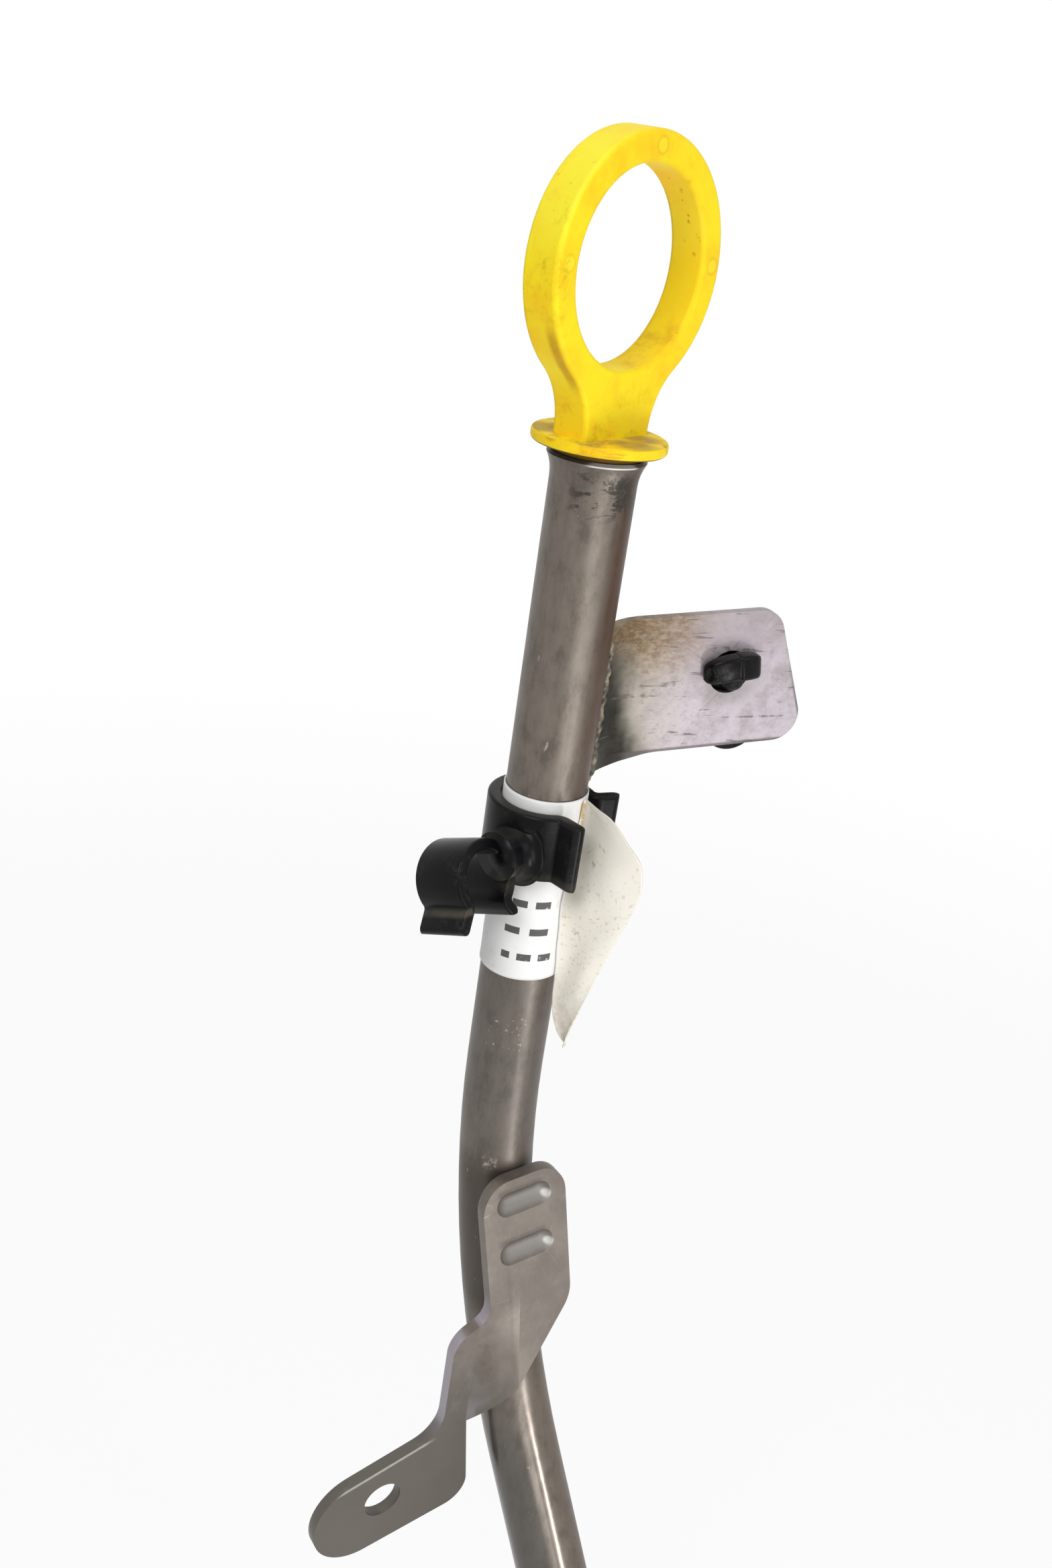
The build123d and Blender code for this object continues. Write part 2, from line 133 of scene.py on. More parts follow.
# 0 below low, 1 above high, smooth between; swapped ends turn it round
def step(value, low, high):
    sockets = {"Value": value, "From Min": low, "From Max": high}
    return put("ShaderNodeMapRange", sockets, interpolation_type="SMOOTHSTEP").outputs["Result"]


# 1 inside a band of half width around a middle, falling to 0 over the soft margin
def band(value, middle, half, soft):
    rising = step(value, middle - half - soft, middle - half)
    return times(rising, step(value, middle + half + soft, middle + half))


# object coordinates, stretched along each axis and turned
def pointOf(stretch=(1, 1, 1), turn=(0, 0, 0)):
    coords = put("ShaderNodeTexCoord").outputs["Object"]
    sockets = {"Vector": coords, "Scale": stretch, "Rotation": turn}
    return put("ShaderNodeMapping", sockets).outputs[0]


def splitPoint():
    coords = put("ShaderNodeTexCoord").outputs["Object"]
    parts = put("ShaderNodeSeparateXYZ", {0: coords}).outputs
    return parts["X"], parts["Y"], parts["Z"]


def cloud(point, scale, detail=4.0, rough=0.55, warp=0.0):
    sockets = {"Vector": point, "Scale": scale, "Detail": detail}
    sockets.update({"Roughness": rough, "Distortion": warp})
    return put("ShaderNodeTexNoise", sockets).outputs["Fac"]


def vectorMath(kind, a, b):
    return put("ShaderNodeVectorMath", {0: a, 1: b}, operation=kind).outputs


# how far the surface faces a given direction, from -1 to 1
def facing(way):
    normal = put("ShaderNodeTexCoord").outputs["Normal"]
    return vectorMath("DOT_PRODUCT", normal, way)["Value"]


# distance from a spot along a direction, in metres
def alongWay(spot, way):
    place = put("ShaderNodeTexCoord").outputs["Object"]
    off = vectorMath("SUBTRACT", place, spot)["Vector"]
    return vectorMath("DOT_PRODUCT", off, way)["Value"]


# distance in a plane from a spot, whose two coordinates are given with their sockets
def apart(a, b, spot):
    offA = sums("SUBTRACT", a, spot[0])
    offB = sums("SUBTRACT", b, spot[1])
    squares = sums("ADD", times(offA, offA), times(offB, offB))
    return put("ShaderNodeMath", {0: squares}, operation="SQRT").outputs[0]


# distance along a level direction from the tube's axis, in metres
def reach(x, y, way):
    fromX = times(sums("SUBTRACT", x, axisX), way[0])
    fromY = times(sums("SUBTRACT", y, axisY), way[1])
    return sums("ADD", fromX, fromY)


# in each look below, places and distances are in metres: two numbers for step are where a tone starts
# and where it is full, and three for band are its middle, half width and soft margin

# yellow moulding: warm yellow, with a painted highlight in pale lemon on the ring's upper left and a
# painted shade in deeper gold on its lower left, painted shade inside the hole, on the collar and under
# the flange, brown dirt on the flange, along the neck's flank and at the hole's foot, and three faint
# round ejector marks on the ring's front
handleLook = {
    "yellow": colour(0.99, 0.775, 0.015),
    "deepYellow": colour(0.97, 0.57, 0.011),
    "lemon": colour(0.99, 0.9, 0.048),
    "dirt": colour(0.44, 0.18, 0.007),
    "greyDirt": colour(0.35, 0.215, 0.062),
    "underShade": colour(0.02, 0.015, 0.01),
    "collarShade": colour(0.26, 0.14, 0.01),
    "specular": 0.16, "roughness": (0.5, 0.64), "bump": (0.00008, 0.5), "leftUp": (-0.97, 0.0, 0.24),
    "flangeTop": (0.175, 0.174), "flangeRim": (0.1735, 0.1731), "flangeUnder": (0.1722, 0.1719),
    "patches": ((0.0182, 0.0118), (0.0272, 0.0022), (0.0232, 0.0)), "patchEdge": (0.0048, 0.0014),
    "collar": (0.17096, 0.00042, 0.0001), "neckFoot": (0.182, 0.1742),
    "flankDepth": (0.005, 0.0003, 0.0009), "flankHeight": (0.1834, 0.002, 0.003),
    "flankSide": (-0.0068, -0.0082),
    "cheekHeight": (0.195, 0.005, 0.004), "cheekSide": (-0.0135, -0.0155),
    "ringMiddle": 0.1944, "holeWall": (0.01345, 0.01285), "holeSide": (0.0, 0.004),
    "holeFoot": (0.1905, 0.1845), "lemonHeight": (0.192, 0.202), "goldenHeight": (0.19, 0.183),
    "ringFront": (0.0042, 0.0038), "markRadius": 0.001, "markMiddle": 0.0007,
    "marks": ((0.024, 0.2091), (0.0094, 0.195), (0.0387, 0.195)),
}


def yellowFinish():
    look = handleLook
    newFinish("yellowMoulding", look, "yellow")
    x, y, z = splitPoint()
    point = pointOf()
    mottled = cloud(point, 95, 4, 0.6)
    grime = cloud(point, 230, 6, 0.72)
    ochre = cloud(pointOf((1.0, 1.0, 0.7)), 300, 6, 0.7)
    scraped = cloud(pointOf((0.45, 0.45, 2.4)), 420, 4, 0.6)
    specks = cloud(point, 900, 2)
    upward = facing(skyward)
    leftUp = facing(look["leftUp"])
    across = sums("SUBTRACT", x, axisX)
    # flange
    onFlange = times(step(upward, 0.6, 0.85), step(z, *look["flangeTop"]))
    flangeTop = times(onFlange, step(grime, 0.42, 0.68), 0.7)
    for patch in look["patches"]:
        near = step(apart(x, y, patch), *look["patchEdge"])
        flangeTop = most(flangeTop, times(onFlange, near, level(grime, 0.35, 1.25)))
    onRim = times(step(z, *look["flangeRim"]), step(upward, 0.7, 0.4))
    rimLines = times(onRim, step(scraped, 0.54, 0.7), 0.5)
    under = times(step(z, *look["flangeUnder"]), step(upward, -0.35, -0.75), 0.95)
    # neck and ring
    neck = times(step(z, *look["neckFoot"]), step(grime, 0.5, 0.72), 0.55)
    flank = times(band(y, *look["flankDepth"]), band(z, *look["flankHeight"]),
                  step(across, *look["flankSide"]), level(grime, 0.1, 1.25), 0.85)
    cheek = times(band(z, *look["cheekHeight"]), step(across, *look["cheekSide"]),
                  step(grime, 0.5, 0.7), 0.6)
    fromRing = apart(x, z, (axisX, look["ringMiddle"]))
    inHole = times(step(fromRing, *look["holeWall"]), step(across, *look["holeSide"]))
    foot = times(inHole, step(z, *look["holeFoot"]), step(grime, 0.45, 0.7), 0.5)
    wall = times(inHole, step(specks, 0.66, 0.72), step(mottled, 0.46, 0.56), 0.7)
    dots = times(step(specks, 0.7, 0.76), step(mottled, 0.5, 0.6), 0.4)
    dirty = most(flank, cheek, foot, wall, neck, dots, rimLines)
    smudges = times(step(ochre, 0.5, 0.72), 0.42)
    # painted highlight: the ring's upper left, which faces the light, is tinted a paler lemon
    paintedLitSide = times(step(leftUp, 0.25, 0.85), step(z, *look["lemonHeight"]), 0.75)
    # painted shade: the ring's lower left is tinted a deeper gold
    paintedShadedSide = times(step(leftUp, 0.35, 0.85), step(z, *look["goldenHeight"]), 0.45)
    coat(step(mottled, 0.38, 0.72), "deepYellow")
    coat(paintedLitSide, "lemon")
    # deeper yellow from random ochre smudges, with painted shade inside the hole and on the ring's
    # lower left
    coat(most(times(inHole, 0.35), smudges, paintedShadedSide), "deepYellow")
    front = step(y, *look["ringFront"])
    for mark in look["marks"]:
        offBy = apart(x, z, mark)
        rim = times(band(offBy, look["markRadius"], 0.0001, 0.00022), front, 0.14)
        coat(rim, "dirt")
        inside = times(step(offBy, look["markRadius"], look["markMiddle"]), front, 0.35)
        coat(inside, "lemon")
    coat(dirty, "dirt")
    coat(flangeTop, "greyDirt")
    # painted shade on the collar below the flange, in a shaded brownish yellow
    coat(band(z, *look["collar"]), "collarShade")
    # painted shade on the flange's underside
    coat(under, "underShade")
    bumps = sums("ADD", cloud(point, 1400, 3), times(mottled, 2.0))
    return complete(level(most(dirty, flangeTop), *look["roughness"]), bumps)


# tube: satin steel with faint drawn streaks, a brown painted reflection on the upper bracket's side and
# less so downwards, cooler below the label with a painted shade on the lower run's left side, dark
# scuffs at the mouth with a painted highlight crescent on its edge and a painted shade on the rim's top
# under the flange, a few pale scratches, and a shade where the stay covers it
tubeLook = {
    "steel": colour(0.152, 0.127, 0.106),
    "paleSteel": colour(0.224, 0.192, 0.163),
    "brown": colour(0.072, 0.036, 0.018),
    "scuffAndShade": colour(0.03, 0.027, 0.022),
    "shade": colour(0.05, 0.041, 0.033),
    "cool": colour(0.085, 0.084, 0.078),
    "scratch": colour(0.46, 0.43, 0.38),
    "rimHighlight": colour(0.8, 0.78, 0.74),
    "metallic": 0.5, "specular": 0.3, "roughness": (0.34, 0.46), "bump": (0.00003, 0.3),
    "brownSide": (0.5, -0.866, 0.0), "brownEnd": (0.94, 0.342, 0.0), "brownHeight": (0.1, 0.158),
    "leftSide": (-0.995, 0.1, 0.0), "coolHeight": (0.02, 0.0), "belowLabel": (0.076, 0.012, 0.012),
    "underStay": (0.043, 0.011, 0.006),
    "scuffSide": (-0.26, -0.966, 0.0), "scuffHeight": (0.166, 0.0016, 0.0028),
    "chipSide": (-0.839, -0.545, 0.0), "chipHeight": (0.0815, 0.0022, 0.002),
    "weldHeight": (0.0574, 0.0006, 0.0007), "shinyHeight": (0.03, 0.0),
    "rimTop": (0.1693, 0.1697), "crescent": (0.1698, 0.17),
    "rimSide": (-0.5, -0.866, 0.0), "rimReach": (0.0055, 0.0062),
}


def tubeFinish():
    look = tubeLook
    newFinish("tubeSteel", look, "steel")
    x, y, z = splitPoint()
    point = pointOf()
    streak = cloud(pointOf((1, 1, 0.03)), 650, 4, 0.6)
    blotch = cloud(point, 150, 6, 0.65)
    cloudy = cloud(pointOf((1, 1, 0.45)), 420, 5, 0.7)
    fine = cloud(point, 1600, 3, 0.7)
    patches = cloud(pointOf((0.8, 0.8, 1.5), (0.2, 0.1, 0)), 360, 6, 0.75, 0.4)
    nicks = cloud(pointOf((1.0, 1.0, 0.35), (0.5, 0.3, 0)), 950, 3, 0.6)
    upward = facing(skyward)
    toChips = facing(look["chipSide"])
    drawn = times(step(streak, 0.42, 0.7), 0.25)
    coat(drawn, "paleSteel")
    coat(times(step(cloudy, 0.46, 0.68), 0.35), "paleSteel")
    coat(times(step(cloudy, 0.52, 0.32), 0.4), "shade")
    # painted reflection: a brown tint on the side facing the upper bracket, stronger higher up
    side = times(step(facing(look["brownSide"]), 0.6, 1.0),
                 step(facing(look["brownEnd"]), 0.85, 0.25), level(blotch, 0.55, 1.35),
                 level(step(z, *look["brownHeight"]), 0.5, 1.4))
    coat(times(side, level(cloudy, 0.6, 1.3)), "brown")
    # painted shade: the lower run's left side is tinted dark and cool; below the label the steel is
    # cooler in tone
    toLeft = step(facing(look["leftSide"]), 0.2, 0.9)
    lowLeftShade = times(step(z, *look["coolHeight"]), toLeft, 0.7)
    belowLabel = times(band(z, *look["belowLabel"]), 0.35)
    coat(most(lowLeftShade, belowLabel), "cool")
    covered = times(band(z, *look["underStay"]), level(cloudy, 0.6, 1.1), 0.8)
    coat(covered, "shade")
    scuffs = times(band(z, *look["scuffHeight"]), step(patches, 0.49, 0.56),
                   step(facing(look["scuffSide"]), 0.25, 0.7), 0.85)
    worn = times(step(fine, 0.66, 0.73), step(blotch, 0.52, 0.6), 0.6)
    coat(most(scuffs, worn), "scuffAndShade")
    marks = times(step(nicks, 0.7, 0.745), step(blotch, 0.42, 0.54), 0.6)
    chips = times(band(z, *look["chipHeight"]), step(fine, 0.62, 0.68), step(toChips, 0.8, 0.95), 0.7)
    weldDust = times(band(z, *look["weldHeight"]), step(fine, 0.48, 0.58),
                     step(toChips, 0.965, 0.99), 0.55)
    coat(most(marks, chips, weldDust), "scratch")
    # painted highlight: a bright crescent on the mouth's outer edge, on its front right
    shineSide = step(reach(x, y, look["rimSide"]), *look["rimReach"])
    crescent = times(step(z, *look["crescent"]), step(upward, 0.95, 0.85), shineSide)
    coat(crescent, "rimHighlight")
    # painted shade: the rim's top face under the flange is darkened
    rimTop = times(step(z, *look["rimTop"]), step(upward, 0.88, 0.97))
    coat(rimTop, "scuffAndShade")
    shiny = times(step(z, *look["shinyHeight"]), step(toChips, 0.1, 0.6), 0.2)
    rough = sums("SUBTRACT", level(blotch, *look["roughness"]), shiny)
    rough = sums("ADD", rough, times(rimTop, 0.4))
    return complete(rough, sums("ADD", times(streak, 0.5), times(fine, 0.4)))


# upper bracket: pale lilac sheet, rust at its upper root, painted shade at its lower root that fades
# through grey green, a faint painted greenish reflection under the hole, fine scratches, and painted
# shade on the lower and outer edges
hangerLook = {
    "sheet": colour(0.47, 0.419, 0.455),
    "worn": colour(0.325, 0.283, 0.292),
    "beige": colour(0.38, 0.338, 0.282),
    "rust": colour(0.15, 0.088, 0.034),
    "stain": colour(0.28, 0.196, 0.1),
    "shade": colour(0.016, 0.013, 0.008),
    "greyGreen": colour(0.178, 0.166, 0.132),
    "scratch": colour(0.13, 0.11, 0.11),
    "edge": colour(0.075, 0.06, 0.062),
    "metallic": 0.3, "specular": 0.25, "roughness": (0.34, 0.52), "bump": (0.00005, 0.4),
    "across": (0.883, -0.469),
    "wornHeight": (0.137, 0.142), "rustHeight": (0.136, 0.147), "rootHeight": (0.143, 0.137),
    "rootTop": 0.14, "rootLean": 0.33, "greyRoot": (0.0165, 0.0105), "darkRoot": (0.0136, 0.0094),
    "hole": (0.0314, 0.1353), "holeShade": (0.0066, 0.0034), "holeBelow": (0.135, 0.1326),
    "lowSlope": 0.0788, "lowEdge": (0.1215, 0.1211), "lowStart": (0.012, 0.018),
    "endLean": (0.923, 0.386), "endEdge": (0.0911, 0.0915), "endHeight": (0.14, 0.13),
}


def hangerFinish():
    look = hangerLook
    newFinish("hangerSteel", look, "sheet")
    x, y, z = splitPoint()
    point = pointOf()
    along = reach(x, y, look["across"])
    mottled = cloud(point, 230, 6, 0.7)
    soft = cloud(point, 160, 3, 0.5)
    grain = cloud(pointOf((0.7, 0.7, 1.3)), 900, 5, 0.75)
    flecks = cloud(pointOf((0.5, 0.5, 1.1), (0, 0.12, 0)), 1300, 4, 0.7)
    lines = cloud(pointOf((0.16, 0.16, 1.7), (0, 0.1, 0)), 700, 2, 0.5)
    ragged = sums("ADD", along, times(sums("SUBTRACT", mottled, 0.5), 0.016))
    coat(times(step(mottled, 0.4, 0.66), 0.8), "worn")
    coat(times(step(ragged, 0.028, 0.012), 0.9), "beige")
    coat(times(step(grain, 0.48, 0.8), 0.32), "scratch")
    # upper root
    high = step(sums("ADD", z, times(mottled, 0.01)), *look["rustHeight"])
    coat(times(step(z, *look["wornHeight"]), 0.5), "worn")
    coat(times(step(ragged, 0.031, 0.015), high, 0.7), "stain")
    rusty = times(step(ragged, 0.03, 0.016), high, step(grain, 0.32, 0.62), 0.9)
    coat(rusty, "rust")
    speckled = times(step(ragged, 0.031, 0.014), step(flecks, 0.56, 0.68), 0.55)
    coat(speckled, "rust")
    # lower root: painted shade, darkest near the tube and fading through grey green, whose edge leans
    # outwards as it goes down
    drop = times(sums("SUBTRACT", look["rootTop"], z), look["rootLean"])
    uneven = times(sums("SUBTRACT", soft, 0.5), 0.007)
    edge = sums("SUBTRACT", sums("ADD", along, uneven), drop)
    lower = step(sums("ADD", z, times(grain, 0.002)), *look["rootHeight"])
    rootShadeFade = times(step(edge, *look["greyRoot"]), lower, 0.92)
    coat(rootShadeFade, "greyGreen")
    rootShade = times(step(edge, *look["darkRoot"]), lower, level(mottled, 1.3, 0.7),
                    level(flecks, 1.15, 0.8))
    coat(rootShade, "shade")
    # painted reflection under the hole, scratches, and painted shade on the lower and outer edges
    fromHole = apart(along, z, look["hole"])
    holeReflection = times(step(fromHole, *look["holeShade"]), step(z, *look["holeBelow"]), 0.42)
    coat(holeReflection, "greyGreen")
    scratched = times(step(lines, 0.61, 0.67), step(mottled, 0.44, 0.54), 0.75)
    coat(scratched, "scratch")
    # painted shade along the sheet's lower and outer edges
    fromLow = sums("SUBTRACT", z, times(along, look["lowSlope"]))
    lowEdge = times(step(fromLow, *look["lowEdge"]), step(along, *look["lowStart"]))
    leanAlong, leanUp = look["endLean"]
    fromEnd = sums("ADD", times(along, leanAlong), times(z, leanUp))
    endEdge = times(step(fromEnd, *look["endEdge"]), step(z, *look["endHeight"]))
    outline = times(most(lowEdge, endEdge), 0.75)
    coat(outline, "edge")
    return complete(level(mottled, *look["roughness"]), sums("ADD", grain, lines))


# stay: warm grey pressed sheet, with a painted highlight in its grooves and a painted shadow along
# their upper lips, a crease beside them and a creased neck foot with painted shade and highlight along
# the creases, a painted lilac reflection on the neck's cut edge, and on the tab a painted highlight
# line along its upper edge, which is painted dark as shade
stayLook = {
    "sheet": colour(0.128, 0.108, 0.09),
    "paleSheet": colour(0.215, 0.186, 0.158),
    "tab": colour(0.106, 0.094, 0.079),
    "mark": colour(0.055, 0.045, 0.037),
    "neckReflection": colour(0.37, 0.335, 0.375),
    "topEdgeShade": colour(0.115, 0.104, 0.088),
    "paintedSheen": colour(0.22, 0.21, 0.198),
    "line": colour(0.42, 0.4, 0.37),
    "glint": colour(0.66, 0.65, 0.63),
    "metallic": 0.45, "roughness": (0.34, 0.48), "bump": (0.00012, 0.35), "grooveRough": 0.22,
    "plateSpot": (0.02169, -0.00339, 0.05252), "plateFacing": (-0.2691, -0.9385, 0.2164),
    "plateAcross": (0.963, -0.2585, 0.0766), "plateUp": (-0.0159, 0.229, 0.9733),
    "neckAcross": (-0.01, 0.003, 0.003), "neckUp": (-0.0305, 0.005, 0.004),
    "creaseAcross": (-0.00365, 0.0001, 0.0007), "creaseUp": (-0.0215, 0.0085, 0.003),
    "leftAcross": (-0.00345, -0.00425), "leftUp": (-0.008, -0.014),
    "grooveCount": 2, "groovePitch": 0.0088,
    "glintSpot": (0.0044, -0.0006), "glintEdge": (0.001, 0.0003),
    "grooveUp": (-0.0005, 0.0006, 0.0013), "grooveAcross": (0.0006, 0.0026, 0.0028),
    "grooveLipUp": (0.0021, 0.0002, 0.0008), "grooveLipAcross": (-0.0006, 0.0034, 0.0016),
    "cutFacing": (-0.9613, 0.2756, 0.0), "cutHeight": (0.023, 0.009, 0.006),
    "topFacing": (-0.35, 0.1, 0.93), "topHeight": (0.016, 0.011), "tabHeight": (0.024, 0.01),
    "tabSpot": (-0.00623, 0.00075, 0.0058), "tabFront": (-0.2756, -0.9613, 0.0),
    "tabAlong": (0.9265, -0.2663, 0.2672), "tabDown": (0.2568, -0.0737, -0.964),
    "lineDown": (0.0003, 0.0001, 0.00035), "lineAlong": (0.006, 0.007, 0.003),
}


def stayFinish():
    look = stayLook
    newFinish("staySteel", look, "sheet")
    z = splitPoint()[2]
    point = pointOf()
    broad = cloud(point, 85, 5, 0.6)
    patchy = cloud(point, 260, 5, 0.7)
    grain = cloud(point, 1000, 4, 0.7)
    broken = cloud(pointOf((1.4, 1.4, 0.7), (0, 0.4, 0)), 210, 4, 0.6)
    u = alongWay(look["plateSpot"], look["plateAcross"])
    v = alongWay(look["plateSpot"], look["plateUp"])
    front = step(facing(look["plateFacing"]), 0.3, 0.6)
    pale = times(step(broad, 0.36, 0.68), 0.55)
    coat(pale, "paleSheet")
    coat(times(step(patchy, 0.5, 0.72), 0.32), "paleSheet")
    coat(times(step(z, *look["tabHeight"]), 0.8), "tab")
    # marks, and painted shade along the crease beside the grooves and along the neck foot's creases
    marks = times(step(grain, 0.58, 0.72), step(patchy, 0.5, 0.64), 0.45)
    neckFoot = times(band(u, *look["neckAcross"]), band(v, *look["neckUp"]))
    folds = times(neckFoot, step(broken, 0.52, 0.36), 0.38)
    crease = times(band(u, *look["creaseAcross"]), band(v, *look["creaseUp"]), 0.3)
    left = times(step(u, *look["leftAcross"]), step(v, *look["leftUp"]), 0.16)
    creased = times(front, most(crease, left))
    coat(most(marks, folds, creased), "mark")
    # painted highlight on the neck foot's creases
    coat(times(neckFoot, step(broken, 0.5, 0.66), 0.22), "paintedSheen")
    grooved = 0.0
    for row in range(look["grooveCount"]):
        rowUp = sums("ADD", v, look["groovePitch"] * row)
        # painted shadow along each groove's upper lip, then a painted highlight filling the groove and
        # a painted glint at its end
        grooveShadow = times(band(rowUp, *look["grooveLipUp"]), band(u, *look["grooveLipAcross"]), front, 0.55)
        coat(grooveShadow, "mark")
        filled = times(band(rowUp, *look["grooveUp"]), band(u, *look["grooveAcross"]),
                       level(patchy, 0.4, 1.05))
        coat(filled, "paintedSheen")
        grooved = most(grooved, filled)
        glint = step(apart(u, rowUp, look["glintSpot"]), *look["glintEdge"])
        coat(times(glint, 0.7), "glint")
    # painted lilac reflection on the neck's cut edge, and the tab's upper edge painted dark as shade
    neckReflection = step(facing(look["cutFacing"]), 0.45, 0.75)
    neckReflection = times(neckReflection, band(z, *look["cutHeight"]), 0.85)
    coat(neckReflection, "neckReflection")
    # painted shade on the tab's up-facing top edge
    topEdgeShade = step(facing(look["topFacing"]), 0.55, 0.8)
    topEdgeShade = times(topEdgeShade, step(z, *look["topHeight"]), 0.6)
    coat(topEdgeShade, "topEdgeShade")
    # painted highlight: a pale line along the tab's upper edge
    below = alongWay(look["tabSpot"], look["tabDown"])
    tabRun = alongWay(look["tabSpot"], look["tabAlong"])
    line = times(band(below, *look["lineDown"]), band(tabRun, *look["lineAlong"]),
                 step(facing(look["tabFront"]), 0.3, 0.6), level(grain, 0.5, 1.1))
    coat(line, "line")
    dull = times(grooved, look["grooveRough"])
    rough = sums("ADD", level(broad, *look["roughness"]), dull)
    dents = sums("ADD", times(broad, 1.2), times(patchy, 0.8))
    return complete(rough, sums("ADD", dents, times(grain, 0.3)))


# black moulding with dust in the hollows, along the line ring's lip, under the boss, on the harness
# clip's head and on faces that look up, and painted light, a less deep black, on the grip ring's lip
# face
clipLook = {
    "black": colour(0.0028, 0.0028, 0.0036),
    "dusky": colour(0.009, 0.009, 0.0095),
    "dust": colour(0.04, 0.037, 0.031),
    "crumbs": colour(0.3, 0.26, 0.19),
    "specular": 0.11, "roughness": (0.28, 0.58), "bump": (0.00005, 0.4),
    "lineSpot": (0.01, 0.0076, 0.1096), "lineOver": (0.0, 0.4067, 0.9135),
    "lineLip": (-0.0036, 0.0001, 0.0007), "lineSide": (0.0062, 0.0056),
    "bossHeight": (0.1098, 0.0006, 0.0012), "bossAcross": (0.0165, 0.0026, 0.0024),
    "bossFront": (0.006, 0.0035),
    "gripFace": (-0.995, 0.1, 0.0), "gripAcross": (0.0172, 0.0178), "gripFront": (0.0012, 0.0004),
    "gripHeight": (0.1147, 0.0052, 0.0006),
    "headSpots": ((0.0564, 0.1338), (0.0516, 0.1361)), "headEdge": (0.0019, 0.0009),
}


def clipFinish():
    look = clipLook
    newFinish("blackMoulding", look, "black")
    x, y, z = splitPoint()
    point = pointOf()
    broad = cloud(point, 190, 5, 0.65)
    fine = cloud(point, 1500, 4, 0.7)
    dusty = times(step(broad, 0.5, 0.74), step(fine, 0.42, 0.66), 0.7)
    lineUp = alongWay(look["lineSpot"], look["lineOver"])
    lip = times(band(lineUp, *look["lineLip"]), step(x, *look["lineSide"]), level(broad, -0.1, 0.75))
    under = times(band(z, *look["bossHeight"]), band(x, *look["bossAcross"]),
                  step(y, *look["bossFront"]), level(broad, -0.2, 0.7))
    upward = step(facing(skyward), 0.75, 0.95)
    upward = times(upward, level(broad, 0.2, 1.0), 0.8)
    # painted light: the grip ring's lip face, which faces away from the lamps, is a less deep black
    gripLipLight = times(step(facing(look["gripFace"]), 0.45, 0.8),
                    step(x, *look["gripAcross"]), step(y, *look["gripFront"]),
                    band(z, *look["gripHeight"]))
    onHead = 0.0
    for spot in look["headSpots"]:
        onHead = most(onHead, step(apart(x, z, spot), *look["headEdge"]))
    onHead = times(onHead, step(fine, 0.4, 0.66), 0.9)
    coat(gripLipLight, "dusky")
    coat(most(dusty, upward, onHead), "dust")
    crumbs = times(most(lip, times(under, 0.5)), 0.6)
    coat(crumbs, "crumbs")
    rough = level(most(dusty, lip, under), *look["roughness"])
    return complete(rough, sums("ADD", fine, times(broad, 1.5)))


# label film: white round the tube with rows of plain short bars, yellowed, stained and freckled on the
# flag, with a painted shadow of the clip near its root and a streak of old glue at the fold; a bar row
# is its height, bars in a full turn and shift
labelLook = {
    "film": colour(0.83, 0.82, 0.8),
    "aged": colour(0.82, 0.765, 0.65),
    "stain": colour(0.36, 0.25, 0.13),
    "glue": colour(0.55, 0.36, 0.1),
    "dim": colour(0.4, 0.365, 0.295),
    "ink": colour(0.03, 0.03, 0.032),
    "specular": 0.2, "roughness": (0.4, 0.58), "bump": (0.0003, 0.4),
    "flagOut": (0.0066, 0.0069), "tipHeight": (0.096, 0.08), "freckleHeight": (0.118, 0.104),
    "dimOut": (0.0112, 0.0075), "dimHeight": (0.1115, 0.005, 0.006),
    "foldTurn": (-1.43, 0.012, 0.03), "foldHeight": (0.1185, 0.0024, 0.001),
    "foldOut": (0.0074, 0.0067),
    "barRows": ((0.1046, 11.0, 0.2), (0.1, 9.0, 0.55), (0.0956, 12.0, 0.1)),
    "barHeight": 0.0011, "barShare": 0.64, "barTurn": (-2.35, 0.62, 0.01), "fullTurn": 6.28318,
}


